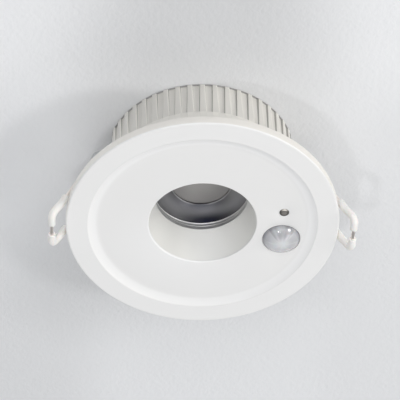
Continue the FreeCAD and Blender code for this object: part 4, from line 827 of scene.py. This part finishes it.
def make_bezel():
    """Flange, dished face, spigot and screw posts in one closed shape."""
    steps, round_edge, flange_round = 192, 0.42, 0.7
    bm = bmesh.new()
    sweep_end = math.degrees(math.asin((RECESS_RADIUS - SWEEP_START) / SWEEP_ROUND))
    sweep = arc(SWEEP_START, FACE_Z - SWEEP_ROUND, SWEEP_ROUND, 90, 90 - sweep_end, 18)
    front = [(SWEEP_START - 0.1, FACE_Z)] + sweep[:-1]
    front += [(RECESS_RADIUS - 0.07, FRONT_Z + 0.05), (RECESS_RADIUS + 0.02, FRONT_Z + 0.012),
              (RECESS_RADIUS + 0.16, FRONT_Z), (RECESS_RADIUS + 0.5, FRONT_Z), (54.1, FRONT_Z)]
    front += arc(FLANGE_RADIUS - flange_round, FRONT_Z + flange_round, flange_round, -90, 0, 8)
    front += [(FLANGE_RADIUS, -0.34), (54.95, -0.16), (54.7, 0), (54.4, 0), (52.35, 0), (52.35, -0.6),
              (47.25, -0.6), (47.25, 0), (SPIGOT_RADIUS + 0.15, 0), (SPIGOT_RADIUS, 0.15),
              (SPIGOT_RADIUS, SPIGOT_TOP - 0.2), (44.8, SPIGOT_TOP), (44.5, SPIGOT_TOP), (44.5, 6),
              (43.5, 6), (43.5, SPIGOT_TOP), (43.0, SPIGOT_TOP), (42.8, SPIGOT_TOP - 0.2), (42.8, 0)]
    rings = spun(bm, front, steps, closed=False)
    inside = [(24.05, 0), (24.05, -1.9), (OPENING_RADIUS, -1.9)]
    inside += arc(OPENING_RADIUS + round_edge, FACE_Z + round_edge, round_edge, 180, 270, 5)
    inside += [(OPENING_RADIUS + round_edge + 0.15, FACE_Z)]
    lip = spun(bm, inside, steps, closed=False)
    fronts, backs = [rings[0], lip[-1]], [rings[-1], lip[0]]
    for hole in ((LENS_RADIUS + 0.2, LENS_REACH, LENS_ANGLE, 96),
                 (WINDOW_RADIUS, WINDOW_REACH, WINDOW_ANGLE, 48)):
        front_loop, back_loop = add_round_hole(bm, *hole)
        fronts.append(front_loop)
        backs.append(back_loop)
    filled_plane(bm, fronts, (0, 0, -1))
    filled_plane(bm, backs, (0, 0, 1))
    for angle in SCREW_ANGLES:
        add_post(bm, SCREW_REACH, angle, 2.65, 6.95)
    for reach, angle in BOARD_POSTS:
        add_post(bm, reach, angle, 2.3, 4.8)
    piece("bezel", toned_mesh(mesh_of(bm, "bezel"), bezel_tone), "bezel_white", nodes=["front_bezel"])


def make_cone():
    """Thin cone from the opening up to the metal ring, with a small rim at its wide end."""
    wall, inner_end = 1.3, CONE_TOP - 0.12
    outline = [(21.7, -1.88), (23.9, -1.88), (24.0, -1.78), (24.0, -0.7), (23.9, -0.6), (23.0, -0.6)]
    outline += [(CONE_END + wall, CONE_TOP), (CONE_END + 0.1, CONE_TOP), (CONE_END, inner_end)]
    outline += [(CONE_END + 2.6 * share, inner_end - 15.4 * share) for share in (0.25, 0.5, 0.75, 0.99)]
    # Painted light towards the bottom and the left, with a little painted shade at the lower left between
    # them.
    mesh = toned_mesh(lathe("cone", outline, 160), lambda reach, bearing, height: (
        0.5 + 0.2 * near(bearing, 78, 50) + 0.1 * near(bearing, 180, 40) - 0.1 * near(bearing, 125, 30)))
    piece("cone", mesh, "cone_white", nodes=["anti_glare_cone"])


def make_ring():
    """Turned metal ring with a bead between two bands and a painted highlight on its upper edge."""
    low, high = CONE_TOP, RING_TOP
    outline = [(23.5, low + 0.1), (23.4, low), (19.45, low), (19.3, low + 0.12), (19.36, 14.4),
               (19.52, 15.4), (19.55, 15.66), (19.62, 15.72), (19.93, 16.0), (19.72, 16.3), (19.75, 16.4),
               (19.84, 17.2), (19.86, 17.45), (19.8, 17.52)]
    outline += arc(19.92, 17.9, 0.3, 245, 115, 8)
    outline += [(20.0, 18.22), (20.0, high), (23.4, high), (23.5, high - 0.1)]

    # Painted highlight on the upper edge, strongest at the lower left; a darker bead; painted shade where
    # the ring meets the cone; painted reflections that change round the bands.
    def tone(reach, bearing, height):
        if height > 17.55:
            return 0.72 + 0.28 * near(bearing, 125, 80)
        if 15.6 < height < 16.2:
            return 0.25
        if height < low + 0.05:
            return 0.3
        return (0.74 if height < 15.7 else 0.62) + 0.2 * near(bearing, 20, 60) - 0.12 * near(bearing, 62, 14)

    piece("turned_ring", toned_mesh(lathe("turned_ring", outline, 192, 40.0), tone), "turned_metal",
          nodes=["optic_ring"])


def bowl_curve():
    """The bowl's inner curve from the ring to its narrow end, with how far along it each point lies."""
    start, end, steps = Vector((20.0, RING_TOP)), Vector((BOWL_END, BOWL_TOP)), 16
    chord = end - start
    side = Vector((-chord.y, chord.x)).normalized()
    centre = (start + end) / 2 - side * math.sqrt(BOWL_ROUND ** 2 - (chord.length / 2) ** 2)
    first, last = (math.degrees(math.atan2(spot.y - centre.y, spot.x - centre.x)) for spot in (start, end))
    points = arc(centre.x, centre.y, BOWL_ROUND, first, last, steps)
    return [(radius, height, step / steps) for step, (radius, height) in enumerate(points)]


def bowl_tone(reach, bearing, height):
    """Even grey with painted reflections and shade: darker at the far side of the lip and of the bowl and
    towards its narrow end, with small painted changes round it.
    """
    if reach < 12.86:
        return 0.52 * (1 - 0.72 * near(bearing, 90, 50))
    outer = eased(reach, 13.5, 19.0)
    deep = 1 - 0.85 * outer * near(bearing, 80, 56)
    inner = 1 - 0.6 * (1 - eased(reach, 12.9, 17.0)) * near(bearing, 90, 110)
    shade = (0.34 + 0.02 * outer) * deep * inner
    return shade * (1 - 0.1 * near(bearing, 150, 60)) * (1 + 0.25 * near(bearing, 5, 60))


def make_reflector():
    """One sector holds one fine rib; the ribs fade towards the bowl's narrow end."""
    curve = bowl_curve()[:-1]
    plain = arc(12.8, 22.0, 0.14, 260, 180, 4)
    plain += [(BOWL_END, DISC_FOOT), (16.0, DISC_FOOT), (16.0, BOWL_TOP), (14.3, BOWL_TOP)]
    plain += [(radius + 0.75, height + 0.45) for radius, height, _ in reversed(curve[1:-1])]
    plain += [(20.9, 19.1), (23.5, 19.1), (23.5, RING_TOP), (20.2, RING_TOP)]
    outline = curve + [(radius, height, 0.0) for radius, height in plain]
    bm = bmesh.new()
    columns = []
    for quarter in range(5):
        angle = math.tau / BOWL_RIBS * quarter / 4
        swell = RIB_DEPTH * (0.5 - 0.5 * math.cos(math.tau * quarter / 4))
        depths = [swell * max(0.0, math.sin(math.pi * min(1.0, share * 1.15))) for _, _, share in outline]
        columns.append([turned_point(bm, radius - depth, angle, height)
                        for (radius, height, _), depth in zip(outline, depths)])
    walled(bm, columns, closed=True)
    mesh = turned_out(round_the_axis(bm, "reflector bowl", BOWL_RIBS, "metallised"), 35.0)
    piece("reflector_bowl", toned_mesh(mesh, bowl_tone), "metallised", nodes=["reflector"])


def crown(reach, radius, rise):
    """Height of a shallow dome over its foot, at a distance from its middle."""
    dome_round = (radius ** 2 + rise ** 2) / (2 * rise)
    return math.sqrt(dome_round ** 2 - reach ** 2) - (dome_round - rise)


def make_diffuser():
    """Slightly crowned opal disc with a flat rim."""
    thick = 1.0
    front = [(DISC_RADIUS * step / 14, DISC_FOOT + crown(DISC_RADIUS * step / 14, DISC_RADIUS, DISC_CROWN))
             for step in range(15)]
    back = [(15.0, DISC_FOOT), (15.0, DISC_FOOT + thick), (DISC_RADIUS, DISC_FOOT + thick)]
    back += [(radius, height + thick) for radius, height in reversed(front[:-1])]

    # Painted shade towards the rim, where the bowl's lip shades the disc, and a little on the left.
    def tone(reach, bearing, height):
        left = 1 - 0.1 * near(bearing, 180, 70) * eased(reach, 1.0, 7.0)
        return (0.86 - 0.36 * eased(reach, 2.0, 12.8)) * left

    piece("diffuser_disc", toned_mesh(lathe("diffuser disc", front + back, 96), tone), "opal",
          nodes=["diffuser"])


def lens_tone(reach, bearing, height):
    """Painted light and shade: each petal's own painted shade for the facets inside, painted highlights on
    the seams and facet lines, and painted shade at the rim, the left side and the foot.
    """
    if height > FACE_Z + 0.1 or reach > LENS_RADIUS + 0.05:
        return 0.5
    petal, across = divmod(bearing / PETAL_WIDTH, 1)
    shade = 1 - (1 - PETAL_TONES[int(petal) % PETALS]) * eased(reach, 1.0, 4.5)
    seam = eased(abs(across - 0.5) * 2, 0.8, 0.97) * eased(reach, 0.8, 2.0) * (1 - eased(reach, 5.6, 6.4))
    edge = 1 - 0.34 * eased(reach, 6.4, 7.3)
    side = 1 - 0.2 * eased(reach, 4.0, 6.2) * near(bearing, 190, 70)
    facet_highlights = (0.16 * near(bearing, 240, 12) + 0.08 * near(bearing, 277, 7)
                    + 0.3 * near(bearing, 303, 16) * (1 - eased(reach, 4.9, 5.8))) * eased(reach, 1.8, 3.4)
    foot = 1 - 0.26 * eased(reach, 5.9, 6.6) * near(bearing, 95, 65) * (1 - 0.4 * eased(reach, 6.9, 7.4))
    return min(1.0, (0.95 * shade + 0.07 * seam + facet_highlights) * edge * side * foot)


def make_lens():
    """A dome of eight faint petals that meet near its tip."""
    half_petal = math.radians(PETAL_WIDTH) / 2
    reaches = (0.0, 0.5, 1.1, 1.8, 2.6, 3.4, 4.2, 4.9, 5.2, 5.35, 5.5, 5.9, 6.4, 6.9, 7.15, 7.35, 7.46, 7.5)
    back = ((LENS_RADIUS, -0.15), (LENS_RADIUS + 0.15, 0), (9.0, 0), (9.0, 1.0), (6.8, 1.0), (6.8, -2.5),
            (5.4, -3.7), (3.0, -5.0), (0, -5.4))
    bm = bmesh.new()
    columns = []
    for column in range(17):
        bearing = half_petal * (column / 8 - 1)
        swell = 0.03 * math.cos(math.pi * bearing / half_petal)
        outline = [(reach, FACE_Z - crown(reach, LENS_RADIUS, LENS_DOME)
                    + swell * eased(reach, 0.8, 3.0) * (1 - eased(reach, 6.0, 7.3))) for reach in reaches]
        columns.append([turned_point(bm, reach, bearing, height) for reach, height in (*outline, *back)])
    walled(bm, columns)
    mesh = round_the_axis(bm, "sensor lens", PETALS, "lens_milk")
    mesh.transform(Matrix.Rotation(half_petal, 4, "Z"))
    mesh = toned_mesh(turned_out(mesh, 40.0), lens_tone)
    piece("sensor_lens", moved_out(mesh, LENS_REACH, LENS_ANGLE), "lens_milk", nodes=["pir_lens"])


def make_window():
    """Light guide with a crowned end, a painted highlight crescent at one side and a slightly paler middle.
    """
    outline = [(0, -3.1), (0.4, -3.083), (0.8, -3.035), (1.15, -2.965), (1.4, -2.9), (1.6, -2.84),
               (1.75, -2.79), (1.87, -2.73), (1.93, -2.6), (1.93, 0), (3.2, 0), (3.2, 0.8), (1.95, 0.8),
               (1.95, 2.0), (0, 2.0)]

    def tone(reach, bearing, height):
        lit = (1 - eased(abs(reach - 1.62), 0.1, 0.42)) * near(bearing, 272, 62)
        return 0.05 + 0.95 * lit + 0.12 * (1 - eased(reach, 0.6, 1.5)) if height < FACE_Z else 0.05

    mesh = toned_mesh(lathe("light window", outline, 64, 40.0), tone)
    piece("light_window", moved_out(mesh, WINDOW_REACH, WINDOW_ANGLE), "guide_dark", nodes=["light_guide"])


# Drum
def groove_size(height):
    """Half width and depth of a groove at this height."""
    shrink = (DRUM_TOP - height) * math.tan(GROOVE_TAPER)
    return GROOVE_WIDTH / 2 - shrink, GROOVE_DEPTH - shrink


def drum_column(bm, across, sunk):
    """One upright column of the drum's wall; across gives its arc length from the groove's centre."""
    levels = [(0, WEB_TOP), (DRUM_BORE, WEB_TOP), (DRUM_BORE, DRUM_TOP - 0.2), (DRUM_BORE + 0.2, DRUM_TOP),
              (None, DRUM_TOP), (None, DRUM_TOP - 0.15), (None, 30.0), (None, GROOVE_FOOT),
              (DRUM_RADIUS, GROOVE_FOOT), (DRUM_RADIUS, DRUM_FOOT + 0.3), (DRUM_RADIUS + 0.3, DRUM_FOOT),
              (44.8, DRUM_FOOT), (SPIGOT_RADIUS, DRUM_FOOT - 0.2), (SPIGOT_RADIUS, SPIGOT_TOP),
              (DRUM_BORE, SPIGOT_TOP), (DRUM_BORE, WEB_FOOT), (0, WEB_FOOT)]
    column = []
    for radius, height in levels:
        half, depth = groove_size(max(height, GROOVE_FOOT))
        if radius is None:
            crest = 0.15 if height == DRUM_TOP else 0.0
            radius = DRUM_RADIUS - (depth if sunk else crest)
        angle = math.radians(GROOVE_PHASE) + across(half) / DRUM_RADIUS
        column.append(turned_point(bm, radius, angle, height))
    return column


def clip_flats(low):
    """Blocks that cut the two flats for the clips' brackets."""
    return [block((CLIP_FLAT, -CLIP_FLAT_HALF, low), (OUTSIDE, CLIP_FLAT_HALF, OUTSIDE)),
            block((-OUTSIDE, -CLIP_FLAT_HALF, low), (-CLIP_FLAT, CLIP_FLAT_HALF, OUTSIDE))]


def grooved_drum():
    """The drum's wall and web from one repeated groove, with its three flats."""
    pitch = math.tau * DRUM_RADIUS / GROOVE_COUNT
    bm = bmesh.new()
    columns = [drum_column(bm, lambda half: side * (half - sunk * WALL_SLANT), sunk)
               for side, sunk in ((-1, False), (-1, True), (0, True), (1, True), (1, False))]
    columns += [drum_column(bm, lambda half: half + (pitch - 2 * half) * share, False)
                for share in (0.25, 0.5, 0.75, 1.0)]
    walled(bm, columns)
    drum = turned_out(round_the_axis(bm, "drum", GROOVE_COUNT, "body_white"), 30.0)
    inlet_flat = block((-9, INLET_FLAT, DRUM_FOOT), (9, OUTSIDE, 27.0))
    return softened(cut_by(drum, clip_flats(DRUM_FOOT) + [inlet_flat]), 0.12, 2, 40.0)


def inner_fins():
    """Upright fins on the web, a little thinner at their top."""
    inner, outer, half, thinner = 8.0, 36.2, 0.7, 0.86
    bm = bmesh.new()
    outline = [(inner, -half), (outer, -half), (outer, half), (inner, half)]
    lower = [bm.verts.new((x, y, FIN_FOOT)) for x, y in outline]
    upper = [bm.verts.new((x, y * thinner, FIN_TOP)) for x, y in outline]
    bm.faces.new(list(reversed(lower)))
    bm.faces.new(upper)
    bridged(bm, upper, lower)
    blade = softened(mesh_of(bm, "fin"), 0.25, 3, 50.0)
    fins = grown(RING_TREE, blade, Count=FIN_COUNT, Weld=0.0, Finish=FINISHES["body_white"])
    return smoothed(fins, 30.0)


def make_heat_sink():
    """Grooved drum, inner fins and hub as one casting."""
    hub = [(0, FIN_FOOT), (9.0, FIN_FOOT), (9.0, 36.9), (8.85, 37.18), (8.6, FIN_TOP), (1.6, FIN_TOP),
           (1.2, 36.9), (0, 36.9)]
    casting = bmesh.new()
    for mesh in (grooved_drum(), inner_fins(), lathe("hub", hub, 64)):
        joined(casting, mesh)
    piece("ribbed_drum", released(casting, "ribbed drum", 30.0), "body_white", nodes=["heat_sink"])


def make_rear_ring():
    """Thin grey ring on the drum's end, cut off at the two clip flats; it stands in for the shade at the
    grooves' tops.
    """
    low, high = DRUM_TOP, REAR_Z
    outline = [(DRUM_BORE + 0.45, low), (38.7, low), (38.75, low + 0.05), (38.75, high - 0.05), (38.7, high),
               (DRUM_BORE + 0.45, high), (DRUM_BORE + 0.4, high - 0.05), (DRUM_BORE + 0.4, low + 0.05)]
    piece("rear_ring_sheet", cut_by(lathe("rear_ring_sheet", outline, 192), clip_flats(30)), "gasket_grey",
          nodes=["rear_ring"])


# Clips
def on_coil(angle, y):
    """A point on the coil round the pivot pin."""
    turn = math.radians(angle)
    return PIVOT_X + COIL_RADIUS * math.cos(turn), y, PIVOT_Z + COIL_RADIUS * math.sin(turn)


def rounded_corner(before, corner, after, radius, steps):
    """The arc that rounds one corner of a route."""
    back, ahead = (before - corner).normalized(), (after - corner).normalized()
    half_angle = back.angle(ahead) / 2
    reach = radius / math.tan(half_angle)
    centre = corner + (back + ahead).normalized() * radius / math.sin(half_angle)
    first, last = corner + back * reach - centre, corner + ahead * reach - centre
    axis, sweep = first.cross(last), first.angle(last)
    return [centre + Matrix.Rotation(sweep * step / steps, 3, axis) @ first for step in range(steps + 1)]


def clip_route():
    """The wire loop on the +X side, from hook to hook, and the distance at which its sleeve starts."""
    leg_bend = Vector((LEG_BEND_X, LEG_SIDE, LEG_BEND_Z))
    down = leg_bend - Vector((PIVOT_X, LEG_SIDE, PIVOT_Z))
    leg_bearing = 90 - math.degrees(math.atan2(-down.z, down.x) + math.asin(COIL_RADIUS / down.length))
    hook = [Vector(on_coil(leg_bearing + HOOK_TURN * (1 - step / 40), LEG_SIDE)) for step in range(41)]
    corner, middle = Vector((BAR_X, LEG_SIDE, BAR_Z)), Vector((BAR_X, 0, BAR_Z))
    slight = rounded_corner(hook[-1], leg_bend, corner, LEG_BEND_RADIUS, 4)
    tight = rounded_corner(leg_bend, corner, middle, BEND_RADIUS, 14)
    leg = [hook[-1].lerp(slight[0], step / 6) for step in range(1, 6)]
    half = hook + leg + slight + tight + [tight[-1].lerp(middle, step / 4) for step in range(1, 5)]
    sleeve_start = math.radians(HOOK_TURN) * COIL_RADIUS + (leg_bend - hook[-1]).length - SLEEVE_RISE
    return half + [Vector((spot.x, -spot.y, spot.z)) for spot in reversed(half[:-1])], sleeve_start


def stretch_between(points, start, end):
    """The part of a path between two distances from its start."""
    kept, travelled = [], 0.0
    for here, there in zip(points, points[1:]):
        length = (there - here).length
        for distance in (start, end):
            if travelled <= distance < travelled + length and (distance == start) == (not kept):
                kept.append(here.lerp(there, (distance - travelled) / length))
        travelled += length
        if kept and start < travelled < end:
            kept.append(there)
    return kept


def spring_route(side):
    """A coil round the pivot with a straight tail down the bracket."""
    length, steps = COIL_PITCH * COIL_TURN / 360, 130
    inner = LEG_SIDE - 2 * WIRE_RADIUS - 0.4 - length
    coil = [on_coil(180 - COIL_TURN * step / steps, side * (inner + length * step / steps))
            for step in range(steps + 1)]
    x, y, z = coil[0]
    return [(x, y, z - drop) for drop in (6.0, 4.0, 2.0, 0.5)] + coil


def flipped(points, across, along):
    """The same points on the other side of the light, across it, along it or both."""
    return [Vector((x * across, y * along, z)) for x, y, z in points]


def make_clip(name, turn):
    """A clip's wire loop and two sleeves, which turn with it, and the springs, which stay on the housing."""
    body = name + "_clip"
    route, sleeve_start = clip_route()
    loop = bar_along(flipped(route, turn, turn), WIRE_RADIUS, "spring_steel")
    piece(name + "_wire_loop", loop, "spring_steel", body, [name + "_clip_wire"])
    total = sum((there - here).length for here, there in zip(route, route[1:]))
    sleeve = stretch_between(route, sleeve_start, (total - BARE_WIRE) / 2)
    for label in ("front", "rear"):
        node = name + "_" + label + "_sleeve"
        low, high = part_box(node)
        side = 1 if low[1] + high[1] > 0 else -1
        tube = softened(bar_along(flipped(sleeve, turn, side), SLEEVE_RADIUS, "silicone", 24), 0.35, 3, 50.0)
        piece(name + "_" + label + "_tube", tube, "silicone", body, [node])
    springs = bmesh.new()
    for side in (-1, 1):
        joined(springs, bar_along(flipped(spring_route(side), turn, turn), WIRE_RADIUS, "spring_steel"))
    piece(name + "_coils", mesh_of(springs, "springs", 40.0), "spring_steel", nodes=[name + "_clip_springs"])


# Screws, grommet and carried-over nodes
def screw_mesh(length):
    """A pan-head screw with a cross recess; its head rests at height zero."""
    pitch, slot_half, slot_depth, slot_reach = 0.6, 0.35, 0.9, SCREW_HEAD * 0.62
    outline = [(0, -length), (SCREW_SHANK * 0.7, -length)]
    for index in range(int(length / pitch)):
        height = -length + (index + 0.5) * pitch
        outline += [(SCREW_SHANK, height), (SCREW_SHANK * 0.84, height + pitch / 2)]
    outline += [(SCREW_SHANK * 0.9, 0), (SCREW_HEAD - 0.1, 0), (SCREW_HEAD, 0.1)]
    outline += [(SCREW_HEAD * width, SCREW_RISE * rise)
                for width, rise in ((1, 0.45), (0.94, 0.75), (0.78, 0.93), (0.5, 1), (0, 1))]
    slots = [block((-x, -y, SCREW_RISE - slot_depth), (x, y, SCREW_RISE + 1))
             for x, y in ((slot_reach, slot_half), (slot_half, slot_reach))]
    return smoothed(cut_by(lathe("screw", outline, 32), slots), 30.0)


def make_screws():
    """The housing's four screws and the two at each bracket, each set with its length and places."""
    sets = [("housing_screws", SCREW_LENGTH, "body_screws",
             [(*spot_at(SCREW_REACH, angle), DRUM_FOOT, (0, 0, math.radians(angle * 1.7)))
              for angle in SCREW_ANGLES])]
    for name, sign in (("right", 1), ("left", -1)):
        outwards = (0, math.radians(sign * 90), 0)
        sets.append((name + "_side_screws", BRACKET_SCREW_LENGTH, name + "_bracket_screws",
                     [(sign * BRACKET_FACE, 0, height, outwards) for height in BRACKET_SCREW_HEIGHTS]))
    for name, length, node, places in sets:
        spots = bpy.data.meshes.new("spots")
        spots.from_pydata([[value * MM for value in place[:3]] for place in places], [], [])
        turns = spots.attributes.new("turn", "FLOAT_VECTOR", "POINT")
        for item, place in zip(turns.data, places):
            item.vector = place[3]
        fastener = placed("scratch", screw_mesh(length))
        mesh = grown(PLACING_TREE, spots, Fastener=fastener, Finish=FINISHES["zinc_steel"])
        bpy.data.objects.remove(fastener)
        piece(name, smoothed(mesh, 30.0), "zinc_steel", nodes=[node])


def make_grommet():
    """Rubber grommet in the cable inlet; the heights in its outline are distances from the drum's axis."""
    outline = [(3.1, 32.95), (5.4, 32.9), (5.7, 33.2), (5.7, 34.1), (5.4, 34.4), (4.95, 34.4),
               (4.95, INLET_FLAT), (6.5, INLET_FLAT), (6.8, 38.3), (6.8, 38.9), (6.55, 39.6), (5.9, 40.05),
               (5.0, 40.2), (3.7, 40.2), (3.25, 40.0), (3.1, 39.6)]
    mesh = lathe("grommet", outline, 72, 40.0)
    mesh.transform(Matrix.Translation((0, 0, INLET_Z * MM)) @ Matrix.Rotation(math.radians(-90), 4, "X"))
    piece("grommet", mesh, "gasket_grey", nodes=["cable_grommet"])


def dress_nodes():
    """Every CAD node that stays gets its slot's finish."""
    slots = {item["node"]: item["material_slot"] for item in frame["record"]["subparts"]}
    for name, item in frame["nodes"].items():
        finish = FINISHES[slots[name]]
        if not item.material_slots:
            item.data.materials.append(finish)
        for place in item.material_slots:
            place.material = finish


make_stage()
FINISHES = make_finishes()
RING_TREE = ring_tree()
WIRE_TREE = wire_tree()
PLACING_TREE = placing_tree()
dress_nodes()
make_bezel()
make_cone()
make_ring()
make_reflector()
make_diffuser()
make_lens()
make_window()
make_heat_sink()
make_rear_ring()
make_clip("right", 1)
make_clip("left", -1)
make_screws()
make_grommet()
